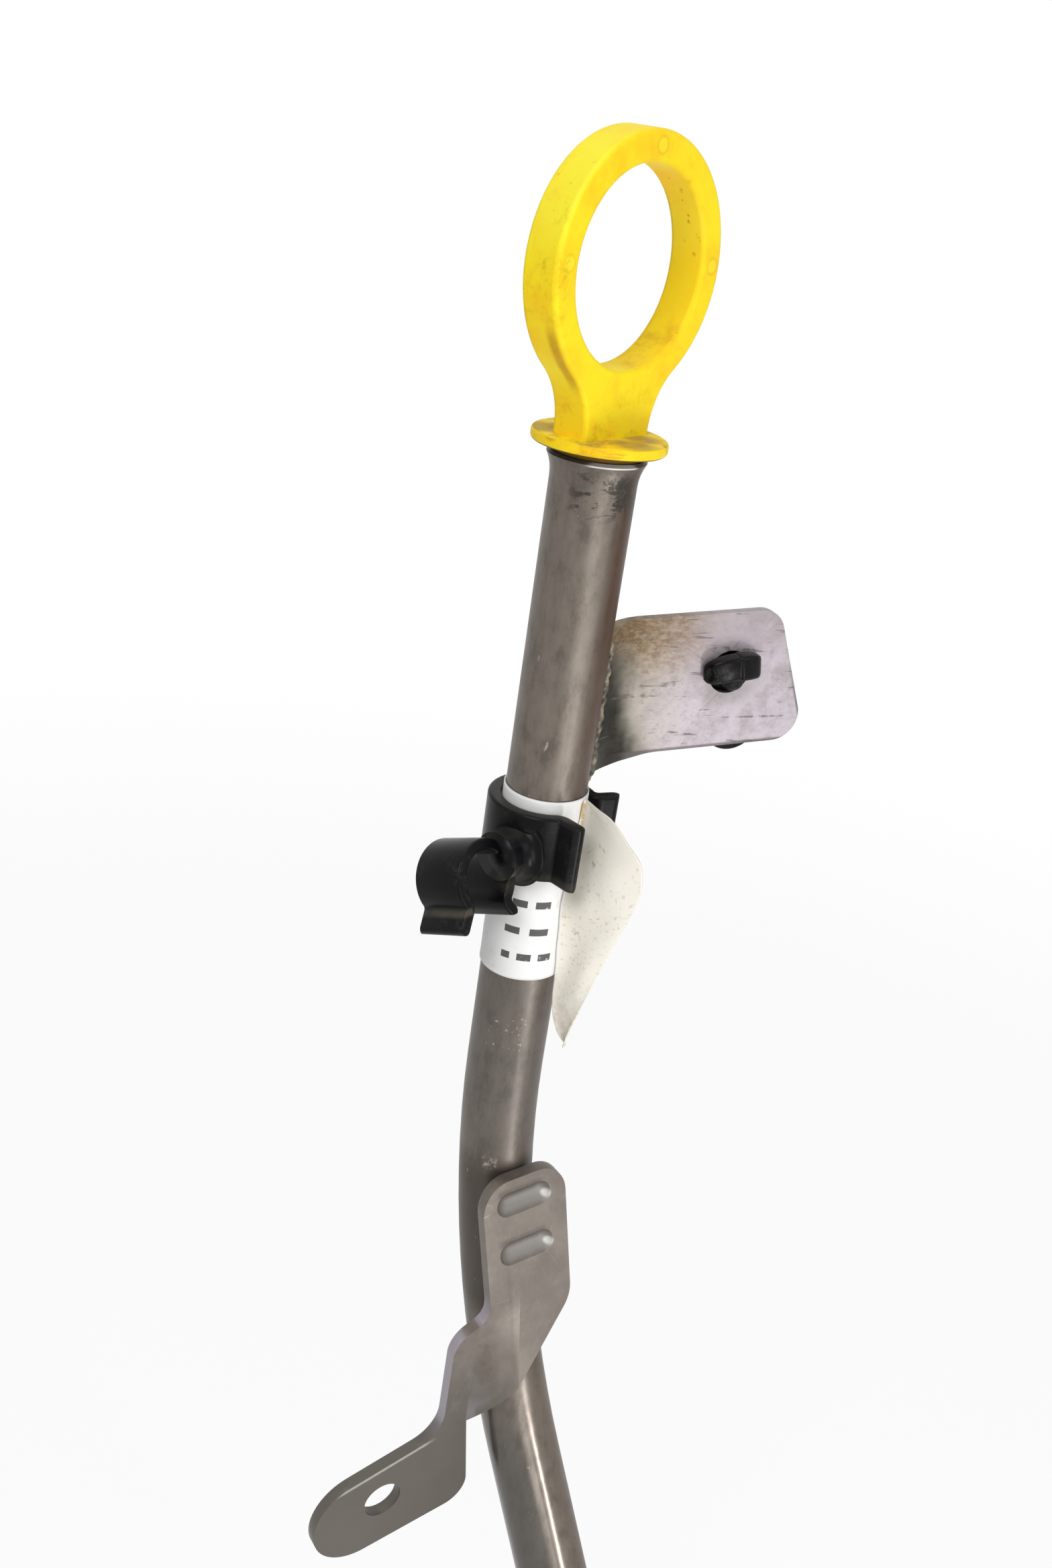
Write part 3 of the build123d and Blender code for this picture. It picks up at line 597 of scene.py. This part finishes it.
def labelFinish():
    look = labelLook
    newFinish("labelFilm", look, "film")
    x, y, z = splitPoint()
    point = pointOf()
    broad = cloud(point, 160, 5, 0.6)
    spots = cloud(point, 720, 5, 0.65)
    tiny = cloud(point, 1500, 3, 0.6)
    outX = sums("SUBTRACT", x, axisX)
    outY = sums("SUBTRACT", y, axisY)
    outSquared = sums("ADD", times(outX, outX), times(outY, outY))
    azimuth = sums("ARCTAN2", outY, outX)

    # step on the distance from the tube's axis, taken by its square
    def fromAxis(low, high):
        return step(outSquared, low**2, high**2)

    free = fromAxis(*look["flagOut"])
    coat(times(free, level(broad, 0.45, 1.1)), "aged")
    stains = times(step(spots, 0.58, 0.72), step(broad, 0.44, 0.6), level(free, 0.22, 0.75))
    tip = times(step(z, *look["tipHeight"]), free, step(spots, 0.38, 0.62), 0.32)
    freckles = times(step(tiny, 0.58, 0.68), free, step(z, *look["freckleHeight"]), 0.4)
    coat(most(stains, tip, freckles), "stain")
    # painted shadow of the clip's lip on the flag near its root
    clipShadow = times(fromAxis(*look["dimOut"]), free, band(z, *look["dimHeight"]),
                   level(broad, 0.35, 1.05), 0.65)
    coat(clipShadow, "dim")
    fold = times(band(azimuth, *look["foldTurn"]), band(z, *look["foldHeight"]),
                 step(spots, 0.36, 0.52), fromAxis(*look["foldOut"]), 0.8)
    coat(fold, "glue")
    span = band(azimuth, *look["barTurn"])
    wrapped = sums("SUBTRACT", 1.0, free)
    for height, count, shift in look["barRows"]:
        turn = sums("ADD", times(azimuth, count / look["fullTurn"]), shift + 20)
        cell = put("ShaderNodeMath", {0: turn}, operation="FRACT").outputs[0]
        ends = band(cell, 0.5, look["barShare"] / 2, 0.02)
        bars = times(band(z, height, look["barHeight"] / 2, 0.00008), ends, span, wrapped)
        coat(times(bars, step(spots, 0.28, 0.4), 0.92), "ink")
    return complete(level(broad, *look["roughness"]), sums("ADD", broad, times(spots, 0.3)))


# plain finishes: two tones mixed by a fine grain
plainLooks = {
    "bladeSteel": {
        "under": colour(0.2, 0.195, 0.188), "over": colour(0.26, 0.254, 0.245), "scale": 700,
        "metallic": 0.7, "roughness": (0.4, 0.52), "bump": (0.00003, 0.3),
    },
    "sealRubber": {
        "under": colour(0.012, 0.012, 0.012), "over": colour(0.022, 0.022, 0.022), "scale": 900,
        "metallic": 0.0, "roughness": (0.5, 0.65), "bump": (0.00003, 0.3),
    },
    "brazeMetal": {
        "under": colour(0.05, 0.042, 0.03), "over": colour(0.34, 0.29, 0.21), "scale": 520,
        "metallic": 0.2, "roughness": (0.5, 0.7), "bump": (0.00003, 0.3),
    },
}


def plainFinish(name):
    look = plainLooks[name]
    newFinish(name, look, "under")
    grain = cloud(pointOf(), look["scale"], 4, 0.6)
    coat(step(grain, 0.4, 0.65), "over")
    return complete(level(grain, *look["roughness"]), grain)


yellowMoulding = yellowFinish()
tubeSteel = tubeFinish()
hangerSteel = hangerFinish()
staySteel = stayFinish()
blackMoulding = clipFinish()
labelFilm = labelFinish()
bladeSteel = plainFinish("bladeSteel")
sealRubber = plainFinish("sealRubber")
finishes = {
    "handle": yellowMoulding,
    "guide_tube": tubeSteel,
    "upper_bracket": hangerSteel,
    "lower_bracket": staySteel,
    "pipe_clip": blackMoulding,
    "harness_clip": blackMoulding,
    "label": labelFilm,
    "blade": bladeSteel,
    "upper_seal": sealRubber,
    "lower_seal": sealRubber,
}
for name, finish in finishes.items():
    nodes[name].data.materials.clear()
    nodes[name].data.materials.append(finish)
print("stage: finishes made,", len(finishes))

# the pressed sheets get a small round on their edges: a copy of the CAD mesh is merged, then bevelled
sheetEdges = {
    "hangerSheet": {"node": "upper_bracket", "round": 0.28, "slot": "hanger_steel"},
    "staySheet": {"node": "lower_bracket", "round": 0.3, "slot": "stay_steel"},
}
edgeRounding = {"mergeWithin": 0.005, "segments": 3, "sharperThan": 50.0}
for name, sheet in sheetEdges.items():
    piece = bpy.data.objects.new(name, nodes[sheet["node"]].data.copy())
    bpy.context.scene.collection.objects.link(piece)
    weld = piece.modifiers.new("weld", "WELD")
    weld.merge_threshold = edgeRounding["mergeWithin"] * mm
    bevel = piece.modifiers.new("edge", "BEVEL")
    bevel.width = sheet["round"] * mm
    bevel.segments = edgeRounding["segments"]
    bevel.limit_method = "ANGLE"
    bevel.angle_limit = np.radians(edgeRounding["sharperThan"])
    bevel.harden_normals = True
    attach(piece, "guide")
    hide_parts(sheet["node"])
print("stage: sheet edges rounded,", len(sheetEdges))


# an open grid of points (rows, columns, 3) in millimetres, put into one mesh of quads; a closed one
# has its columns wrapped round and both end rows filled with a fan, and is turned to face outwards
def gridPiece(name, points, finish, wrapRows=False, closed=False):
    rows, columns = points.shape[:2]
    index = np.arange(rows * columns).reshape(rows, columns)
    if wrapRows:
        index = np.vstack([index, index[:1]])
    if closed:
        index = np.hstack([index, index[:, :1]])
    around = [index[:-1, :-1], index[1:, :-1], index[1:, 1:], index[:-1, 1:]]
    quads = np.stack(around, axis=-1).reshape(-1, 4)
    verts = points.reshape(-1, 3)
    faces = quads.tolist()
    if closed:
        verts = np.vstack([verts, points[0].mean(axis=0), points[-1].mean(axis=0)])
        first, last = index[0], index[-1]
        low, high = rows * columns, rows * columns + 1
        faces += np.stack([first[:-1], first[1:], np.full(len(first) - 1, low)], axis=-1).tolist()
        faces += np.stack([last[1:], last[:-1], np.full(len(last) - 1, high)], axis=-1).tolist()
        corners = verts[quads]
        outward = corners.mean(axis=1) - verts.mean(axis=0)
        normal = np.cross(corners[:, 2] - corners[:, 0], corners[:, 3] - corners[:, 1])
        if (normal * outward).sum() < 0:
            faces = [face[::-1] for face in faces]
    mesh = bpy.data.meshes.new(name)
    mesh.from_pydata((verts * mm).tolist(), [], faces)
    mesh.polygons.foreach_set("use_smooth", np.full(len(mesh.polygons), True))
    mesh.materials.append(finish)
    mesh.update()
    piece = bpy.data.objects.new(name, mesh)
    bpy.context.scene.collection.objects.link(piece)
    return piece


# several grids in one object: their meshes are joined and the extra objects removed
def joined(name, parts):
    whole = bmesh.new()
    for part in parts:
        whole.from_mesh(part.data)
    mesh = parts[0].data
    whole.to_mesh(mesh)
    whole.free()
    for part in parts[1:]:
        spare = part.data
        bpy.data.objects.remove(part)
        bpy.data.meshes.remove(spare)
    parts[0].name = name
    return parts[0]


# the direction of an angle in degrees
def unit(angle):
    turn = np.radians(angle)
    return np.stack([np.cos(turn), np.sin(turn)], axis=-1)


# a rectangle with quarter-circle corners, as one ring of points
def roundedBox(width, height, corner, steps=6):
    signs = np.repeat(np.array([[1, 1], [-1, 1], [-1, -1], [1, -1]]), steps, axis=0)
    sweep = np.tile(np.linspace(0, 90, steps), 4) + np.repeat([0, 90, 180, 270], steps)
    return signs * np.array([width / 2 - corner, height / 2 - corner]) + corner * unit(sweep)


# a plan line from runs of (length, turn): the heading changes evenly along each run, and the
# position is the running sum of the heading's direction; mark is the run whose start is at place
def runLine(runs, heading, mark, place, fine=0.12):
    counts = [max(4, int(np.ceil(length / fine))) for length, turn in runs]
    stepLength = np.concatenate([np.full(n, length / n) for n, (length, turn) in zip(counts, runs)])
    stepTurn = np.concatenate([np.full(n, turn / n) for n, (length, turn) in zip(counts, runs)])
    after = heading + np.cumsum(stepTurn)
    along = unit(after - stepTurn / 2) * stepLength[:, None]
    line = np.vstack([[0, 0], np.cumsum(along, axis=0)])
    line = line - line[sum(counts[:mark])] + place
    headings = np.concatenate([[heading], after])
    travelled = np.concatenate([[0], np.cumsum(stepLength)])
    return line, headings, travelled


# a C-shaped strip: a rounded box profile carried along a plan line, thinned to a round at each tip;
# across, over and rise are the directions of the plan's x, its y and the strip's width
def openRing(name, finish, ring, centre, across, over, rise):
    radius = ring["inner"] + ring["wall"] / 2
    first, last = ring["ends"]
    sweep = 360 - (last - first)
    bendLength = [np.radians(abs(turn)) * ring["lipBend"] for turn in ring["lipTurns"]]
    runs = [
        (ring["lips"][0], 0.0),
        (bendLength[0], ring["lipTurns"][0]),
        (np.radians(sweep) * radius, -sweep),
        (bendLength[1], ring["lipTurns"][1]),
        (ring["lips"][1], 0.0),
    ]
    startHeading = first - 90 - ring["lipTurns"][0]
    line, headings, travelled = runLine(runs, startHeading, 2, radius * unit(first))
    half = ring["wall"] / 2
    fromEnd = np.minimum(travelled, travelled[-1] - travelled)
    short = np.clip(1 - fromEnd / half, 0, 1)
    thin = np.clip(np.sqrt(1 - short**2), ring["tip"], 1)
    sideways = unit(headings + 90)
    profile = roundedBox(ring["wall"], ring["width"], ring["corner"])
    plan = line[:, None, :] + profile[None, :, :1] * thin[:, None, None] * sideways[:, None, :]
    points = centre + plan[..., :1] * across + plan[..., 1:] * over + profile[None, :, 1:] * rise
    return gridPiece(name, points, finish, closed=True)


# pipe clip: the C round the tube, the C for the line and the boss between them; ends are the angles
# where the round stops, lips the straight ends after a bend, and tip the share of the wall left there
gripRing = {
    "drop": 55.3, "inner": 6.33, "wall": 2.1, "width": 10.2, "corner": 0.5, "tip": 0.12,
    "ends": (-126.0, -22.5), "lips": (3.6, 2.9), "lipTurns": (60.0, 86.0), "lipBend": 1.45,
}
lineRing = {
    "offset": (-14.0, 1.1, -60.4), "tilt": 24.0,
    "inner": 4.1, "wall": 1.75, "width": 9.0, "corner": 0.45, "tip": 0.12,
    "ends": (-152.0, -42.0), "lips": (3.3, 1.6), "lipTurns": (62.0, 78.0), "lipBend": 1.4,
}
xAxis, yAxis, zAxis = np.eye(3)
tilt = np.radians(lineRing["tilt"])
lineOver = np.array([0, np.sin(tilt), np.cos(tilt)])
lineRise = np.array([0, -np.cos(tilt), np.sin(tilt)])
gripMiddle = mouth - [0, 0, gripRing["drop"]]
lineMiddle = mouth + lineRing["offset"]
gripPiece = openRing("pipeClip", blackMoulding, gripRing, gripMiddle, xAxis, yAxis, zAxis)
linePiece = openRing("lineRing", blackMoulding, lineRing, lineMiddle, xAxis, lineOver, lineRise)

# boss: a circle whose radius grows towards the tube as a quarter round, swept along -X
boss = {
    "spot": (-1.4, -56.6), "from": -6.9, "to": -11.0, "radius": 3.7,
    "flare": 2.0, "flareShare": 0.62, "squash": 0.98,
}


def bossGrid():
    run = np.linspace(0, 1, 26)
    close = np.clip(1 - run / boss["flareShare"], 0, 1)
    radius = boss["radius"] + boss["flare"] * (1 - np.sqrt(1 - close**2))
    x = boss["from"] + (boss["to"] - boss["from"]) * run
    ring = unit(np.linspace(0, 360, 73)[:-1])
    y = boss["spot"][0] + radius[:, None] * ring[None, :, 0]
    z = boss["spot"][1] + radius[:, None] * boss["squash"] * ring[None, :, 1]
    return mouth + np.stack([np.broadcast_to(x[:, None], y.shape), y, z], axis=-1)


bossPiece = gridPiece("clipBoss", bossGrid(), blackMoulding, closed=True)
pipeClip = joined("pipeClip", [gripPiece, linePiece, bossPiece])
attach(pipeClip, "guide")
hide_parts("pipe_clip")
print("stage: pipe clip made")

# label: a film round the tube, whose joined ends stand out from it as a flag; the fold and the free
# edge are given as run out from the tube, sideways and height, from the flag's root
labelShape = {
    "top": 48.5, "height": 29.8, "radius": 6.17, "film": 0.22, "slack": 0.05,
    "root": (0.66, -6.27), "flagTurn": -82.0,
    "fold": (
        (0.0, -1.0, -48.8), (0.1, -0.5, -49.1), (0.1, -0.15, -50.6), (0.1, 0.1, -53.0),
        (0.1, 0.5, -57.5), (0.05, 1.05, -63.0), (0.0, 1.2, -66.4), (0.05, 0.9, -69.6),
        (0.1, 0.5, -73.0), (0.15, 0.1, -76.0), (0.3, 0.0, -79.0), (0.45, 0.0, -82.1),
        (1.0, 0.0, -85.0), (2.35, 0.0, -87.7), (3.9, 0.0, -89.0),
    ),
    "free": (
        (0.5, -0.9, -48.7), (3.3, 0.0, -48.9), (6.0, 0.0, -49.6), (8.7, 0.0, -52.0),
        (11.0, 0.0, -54.4), (11.6, 0.0, -57.2), (11.6, 0.0, -60.3), (10.5, 0.0, -64.5),
        (8.9, 0.0, -69.6), (7.3, 0.0, -74.9), (6.15, 0.0, -79.6), (4.85, 0.0, -84.9),
        (4.1, 0.0, -89.1),
    ),
    "valley": 0.75, "curl": 0.8, "ripple": 0.16, "crinkle": 0.1,
}


# a smooth line through given points: Catmull-Rom, evenly divided
def smoothLine(given, count):
    given = np.array(given, float)
    padded = np.vstack([2 * given[0] - given[1], given, 2 * given[-1] - given[-2]])
    t = np.linspace(0, len(given) - 1, count)
    i = np.minimum(t.astype(int), len(given) - 2)
    f = (t - i)[:, None]
    a, b, c, d = padded[i], padded[i + 1], padded[i + 2], padded[i + 3]
    bend = (2 * a - 5 * b + 4 * c - d) * f**2
    twist = (3 * b - a - 3 * c + d) * f**3
    return 0.5 * (2 * b + (c - a) * f + bend + twist)


# wrap: the film's cylinder with a faint wave where it isn't tight
def wrapGrid():
    shape = labelShape
    turns = np.linspace(0, 360, 145)[:-1]
    drops = np.linspace(0, shape["height"], 60)
    turn, drop = np.meshgrid(turns, drops, indexing="ij")
    wave = shape["slack"] * np.sin(np.radians(turn * 5) + drop * 0.4) * np.sin(drop * 0.55)
    radius = shape["radius"] + np.maximum(wave, 0)
    plan = unit(turn) * radius[..., None]
    return mouth + np.concatenate([plan, -(shape["top"] + drop)[..., None]], axis=-1)


# flag: straight lines from the fold to the free edge, moved across the sheet by waves
def flagGrid():
    shape = labelShape
    rows = 120
    u, v = np.meshgrid(np.linspace(0, 1, 44), np.linspace(0, 1, rows), indexing="ij")
    inner = smoothLine(shape["fold"], rows)
    outer = smoothLine(shape["free"], rows)
    flat = inner[None] + (outer - inner)[None] * u[..., None]
    along = unit(shape["flagTurn"])
    across = np.array([along[1], -along[0]])
    body = np.sin(np.pi * v)
    wave = -shape["valley"] * np.sin(2 * np.pi * u**0.8) * body * (0.7 + 0.3 * np.cos(5 * v))
    wave = wave + shape["curl"] * u**3 * np.sin(2.2 * np.pi * v + 0.6)
    wave = wave + shape["ripple"] * np.sin(17 * v + 4 * u) * u
    wave = wave + shape["crinkle"] * np.sin(29 * v - 8 * u) * np.sin(5 * u + 9 * v) * body
    sideways = (flat[..., 1] + wave)[..., None]
    plan = np.array(shape["root"]) + flat[..., :1] * along + sideways * across
    return mouth + np.concatenate([plan, flat[..., 2:]], axis=-1)


wrapPiece = gridPiece("labelWrap", wrapGrid(), labelFilm, wrapRows=True)
flagPiece = gridPiece("labelFlag", flagGrid(), labelFilm)
for film in (wrapPiece, flagPiece):
    solid = film.modifiers.new("film", "SOLIDIFY")
    solid.thickness = labelShape["film"] * mm
    solid.offset = 0
    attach(film, "guide")
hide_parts("label")
print("stage: label made")

# harness clip: a barbed head in front of the sheet, its stem and lobe, and the pad behind; the centre
# is out from the tube's axis along the sheet, and up from the mouth
anchor = {
    "centre": (31.4, -34.2), "setBack": 9.0, "turn": -28.0, "slope": 10.0,
    "length": 9.4, "width": 4.1, "depth": 3.0, "lift": 1.3, "raise": 0.85, "arch": 0.7,
    "tip": 0.55, "corner": 0.34, "roof": 0.3, "ridge": 0.12,
    "barb": 0.12, "barbRise": 0.22, "barbWidth": 0.93,
    "lobe": (1.0, -1.7, 1.9, 1.5), "lobeSquash": 0.8, "stem": 2.6,
    "pad": (10.0, 7.0, 14.7, 2.6), "padTurn": 20.5, "padBack": 0.85, "padEdge": 0.6,
}
tabAcross = np.append(unit(anchor["turn"]), 0)
tabFacing = np.array([tabAcross[1], -tabAcross[0], 0])
clipOut, clipUp = anchor["centre"]
clipMiddle = mouth + clipOut * tabAcross - anchor["setBack"] * tabFacing + clipUp * zAxis


# points given along the sheet, up and out of it
def onTab(local):
    inSheet = local[..., :1] * tabAcross + local[..., 1:2] * zAxis
    return clipMiddle + inSheet + local[..., 2:] * tabFacing


# head: an arched bar whose section is a roof with a ridge, narrowing and dropping back towards both
# tips, a little wider and higher past the barb
def headGrid():
    run = np.linspace(-1, 1, 61)
    spread = np.sqrt(np.clip(1 - np.abs(run) ** 4, 0, 1))
    tip = anchor["tip"]
    width = anchor["width"] / 2 * (tip + (1 - tip) * spread)
    width = width * np.where(run > anchor["barb"], 1.0, anchor["barbWidth"])
    deep = anchor["depth"] * (tip + (1 - tip) * (1 - np.abs(run) ** 2.2)) * np.clip(spread + 0.25, 0, 1)
    deep = deep + anchor["barbRise"] * (1 / (1 + np.exp(-(run - anchor["barb"]) * 60)))
    ring = roundedBox(2.0, 2.0, anchor["corner"], 5)
    roof = 1 - anchor["roof"] * np.abs(ring[:, 1] + anchor["ridge"])
    front = np.where(ring[:, 0] > 0, ring[:, 0] * roof, ring[:, 0])
    arch = anchor["raise"] + anchor["arch"] * (1 - run[:, None] ** 2)
    y = width[:, None] * ring[None, :, 1] + arch
    x = np.broadcast_to(run[:, None] * anchor["length"] / 2, y.shape)
    z = anchor["lift"] + deep[:, None] * (front[None, :] + 1) / 2
    cosine, sine = unit(anchor["slope"])
    return onTab(np.stack([x * cosine - y * sine, x * sine + y * cosine, z], axis=-1))


# turned shape about the tab's facing direction: radius and height given along the profile
def turnedGrid(profile, middle, squeeze=1.0):
    ring = unit(np.linspace(0, 360, 65)[:-1])
    radius, height = np.array(profile, float).T
    x = middle[0] + radius[:, None] * ring[None, :, 0]
    y = middle[1] + radius[:, None] * ring[None, :, 1] * squeeze
    return onTab(np.stack([x, y, np.broadcast_to(height[:, None], x.shape)], axis=-1))


# pad: a slot outline drawn in at both faces by a quarter round, then turned in its plane
def padGrid():
    width, above, below, deep = anchor["pad"]
    edge = anchor["padEdge"]
    sweep = np.linspace(0, 180, 33)
    high = unit(sweep) * width / 2 + [0, above - width / 2]
    low = unit(sweep + 180) * width / 2 + [0, width / 2 - below]
    outline = np.vstack([high, low])
    outward = np.vstack([unit(sweep), unit(sweep + 180)])
    turn = np.radians(np.linspace(0, 90, 7))
    inset = np.concatenate([edge * (1 - np.sin(turn)), edge * (1 - np.sin(turn[::-1]))])
    depth = np.concatenate([edge * (1 - np.cos(turn)), deep - edge * (1 - np.cos(turn[::-1]))])
    plan = outline[None] - outward[None] * inset[:, None, None]
    plan = plan[..., :1] * unit(anchor["padTurn"]) + plan[..., 1:] * unit(anchor["padTurn"] + 90)
    back = np.broadcast_to((-anchor["padBack"] - depth)[:, None, None], plan.shape[:2] + (1,))
    return onTab(np.concatenate([plan, back], axis=-1))


lobeX, lobeY, lobeRadius, lobeHeight = anchor["lobe"]
lobeRise = unit(np.linspace(0, 90, 12))
lobeProfile = [0.25 * lobeRadius, 0.2] + lobeRise * [0.75 * lobeRadius, lobeHeight]
stem = anchor["stem"]
stemProfile = [(stem, -1.2), (stem, 0.4), (stem * 0.94, 1.0), (stem * 0.8, 2.2)]
clipGrids = {
    "harnessClip": headGrid(),
    "clipLobe": turnedGrid(lobeProfile, (lobeX, lobeY), anchor["lobeSquash"]),
    "clipStem": turnedGrid(stemProfile, (0, 0)),
    "clipPad": padGrid(),
}
clipPieces = [gridPiece(name, grid, blackMoulding, closed=True) for name, grid in clipGrids.items()]
harnessClip = joined("harnessClip", clipPieces)
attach(harnessClip, "guide")
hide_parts("harness_clip")
print("stage: harness clip made")

# braze: a lumpy bead up the line where the upper bracket meets the tube; its radius is a sum of sines
# along and round it, with one blob, drawn in at both ends
bead = {
    "azimuth": -46.0, "out": 6.05, "top": -25.5, "low": -47.3, "radius": 0.5, "lump": 0.24,
    "blob": 0.7, "blobAt": 0.8, "blobLength": 0.035,
}


def beadGrid():
    turns = np.linspace(0, 2 * np.pi, 25)[:-1]
    run, turn = np.meshgrid(np.linspace(0, 1, 220), turns, indexing="ij")
    lumps = np.sin(61 * run + 1.3 * np.cos(turn))
    lumps = lumps + 0.8 * np.sin(97 * run + 2 * turn) + 0.6 * np.sin(23 * run + 0.7)
    blob = bead["blob"] * np.exp(-((run - bead["blobAt"]) / bead["blobLength"]) ** 2)
    ends = np.sqrt(np.clip(1 - np.abs(2 * run - 1) ** 12, 0.02, 1))
    radius = (bead["radius"] + bead["lump"] * (lumps / 2.4 + blob)) * ends
    out = bead["out"] + radius * np.cos(turn)
    side = radius * np.sin(turn)
    way = unit(bead["azimuth"])
    x = out * way[0] - side * way[1]
    y = out * way[1] + side * way[0]
    return mouth + np.stack([x, y, bead["top"] + (bead["low"] - bead["top"]) * run], axis=-1)


brazeMetal = plainFinish("brazeMetal")
brazeBead = gridPiece("brazeBead", beadGrid(), brazeMetal, closed=True)
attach(brazeBead, "guide")
print("stage: braze bead made")

# camera at the photograph's viewpoint: its place in metres, and its right and down directions
cameraView = {
    "place": (-0.13895, -0.11959, 0.21378),
    "right": (0.66343, -0.73644, 0.13232),
    "down": (-0.22705, -0.36665, -0.90223),
    "lens": 35.415, "sensor": 36.0, "near": 0.01,
}
right = Vector(cameraView["right"]).normalized()
up = -Vector(cameraView["down"])
up = (up - right * up.dot(right)).normalized()
back = right.cross(up)
cameraData = bpy.data.cameras.new("photoCamera")
cameraData.lens = cameraView["lens"]
cameraData.sensor_width = cameraView["sensor"]
cameraData.clip_start = cameraView["near"]
camera = bpy.data.objects.new("photoCamera", cameraData)
bpy.context.scene.collection.objects.link(camera)
turned = Matrix((right, up, back)).transposed().to_4x4()
camera.matrix_world = Matrix.Translation(Vector(cameraView["place"])) @ turned
bpy.context.scene.camera = camera

# soft studio light: a key near the camera, one from the ring's side, an upright strip between them
# that draws the tube's long highlight, a narrow low one for the lower run, and a broad one overhead;
# azimuth and elevation in degrees, distance and size in metres
lamps = {
    "key": {"azimuth": -162.0, "elevation": 46.0, "far": 0.75, "size": (0.3, 0.3), "watts": 2.25},
    "side": {"azimuth": -80.0, "elevation": 34.0, "far": 0.8, "size": (0.42, 0.42), "watts": 0.9},
    "strip": {"azimuth": -114.0, "elevation": -4.0, "far": 0.46, "size": (0.15, 0.28), "watts": 0.54},
    "low": {"azimuth": -91.0, "elevation": -26.0, "far": 0.33, "size": (0.02, 0.14), "watts": 0.31},
    "top": {"azimuth": 90.0, "elevation": 82.0, "far": 0.8, "size": (0.6, 0.6), "watts": 1.25},
}
lampAim = Vector((0.015, 0.0, 0.1))
for name, lamp in lamps.items():
    flatPart, rise = unit(lamp["elevation"])
    away = Vector((*(unit(lamp["azimuth"]) * flatPart), rise))
    data = bpy.data.lights.new(name + "Lamp", "AREA")
    data.shape = "RECTANGLE"
    data.size, data.size_y = lamp["size"]
    data.energy = lamp["watts"]
    lampObject = bpy.data.objects.new(name + "Lamp", data)
    bpy.context.scene.collection.objects.link(lampObject)
    lampObject.location = lampAim + away * lamp["far"]
    lampObject.rotation_mode = "QUATERNION"
    lampObject.rotation_quaternion = away.to_track_quat("Z", "Y")

# surroundings: white to the camera and to reflections, a cool dim light to everything else; the floor
# under the blade's tip takes a faint shadow, and turns white further out (by squared metres)
studio = {
    "white": colour(1, 1, 1), "ambientTint": colour(0.94, 0.97, 1.0), "ambient": 0.33,
    "floorSize": 40.0, "floorDrop": 4.0, "floorGrey": colour(0.9, 0.9, 0.9), "floorRough": 0.9,
    "floorWhite": (0.89, 1.0), "floorFade": (0.05, 0.5),
}


# 1 for rays from the camera, off a shiny face or through a clear one
def seenDirectly():
    path = put("ShaderNodeLightPath").outputs
    return most(path["Is Camera Ray"], path["Is Glossy Ray"], path["Is Transmission Ray"])


world = bpy.data.worlds.new("paleStudio")
world.use_nodes = True
world.node_tree.nodes.clear()
bench["tree"] = world.node_tree
ambientLight = {"Color": studio["ambientTint"], "Strength": studio["ambient"]}
ambient = put("ShaderNodeBackground", ambientLight)
white = put("ShaderNodeBackground", {"Color": studio["white"], "Strength": 1.0})
skySockets = {0: seenDirectly(), 1: ambient.outputs[0], 2: white.outputs[0]}
skyMix = put("ShaderNodeMixShader", skySockets)
put("ShaderNodeOutputWorld", {"Surface": skyMix.outputs[0]})
bpy.context.scene.world = world
bpy.context.scene.view_settings.view_transform = "Standard"

floorLow = cadBox[0].z - studio["floorDrop"] * mm
corners = np.array([[-1, -1], [1, -1], [1, 1], [-1, 1]]) * studio["floorSize"] / 2
floorMesh = bpy.data.meshes.new("paleFloor")
floorMesh.from_pydata([(float(a), float(b), floorLow) for a, b in corners], [], [(0, 1, 2, 3)])
newFinish("paleFloor", studio, "floorGrey")
floorTree = bench["tree"]
floorSkin = bench["skin"]
floorSkin.inputs["Base Color"].default_value = studio["floorGrey"]
floorSkin.inputs["Roughness"].default_value = studio["floorRough"]
floorGlow = put("ShaderNodeEmission", {"Color": studio["white"], "Strength": 1.0})
floorX, floorY = splitPoint()[:2]
floorOut = sums("ADD", times(floorX, floorX), times(floorY, floorY))
floorWhite = level(step(floorOut, *studio["floorFade"]), *studio["floorWhite"])
floorShare = times(seenDirectly(), floorWhite)
floorSockets = {0: floorShare, 1: floorSkin.outputs[0], 2: floorGlow.outputs[0]}
floorMix = put("ShaderNodeMixShader", floorSockets)
floorTree.links.new(floorMix.outputs[0], floorTree.nodes["Material Output"].inputs["Surface"])
floorMesh.materials.append(bench["finish"])
floor = bpy.data.objects.new("paleFloor", floorMesh)
bpy.context.scene.collection.objects.link(floor)
print("stage: camera, light and floor set")
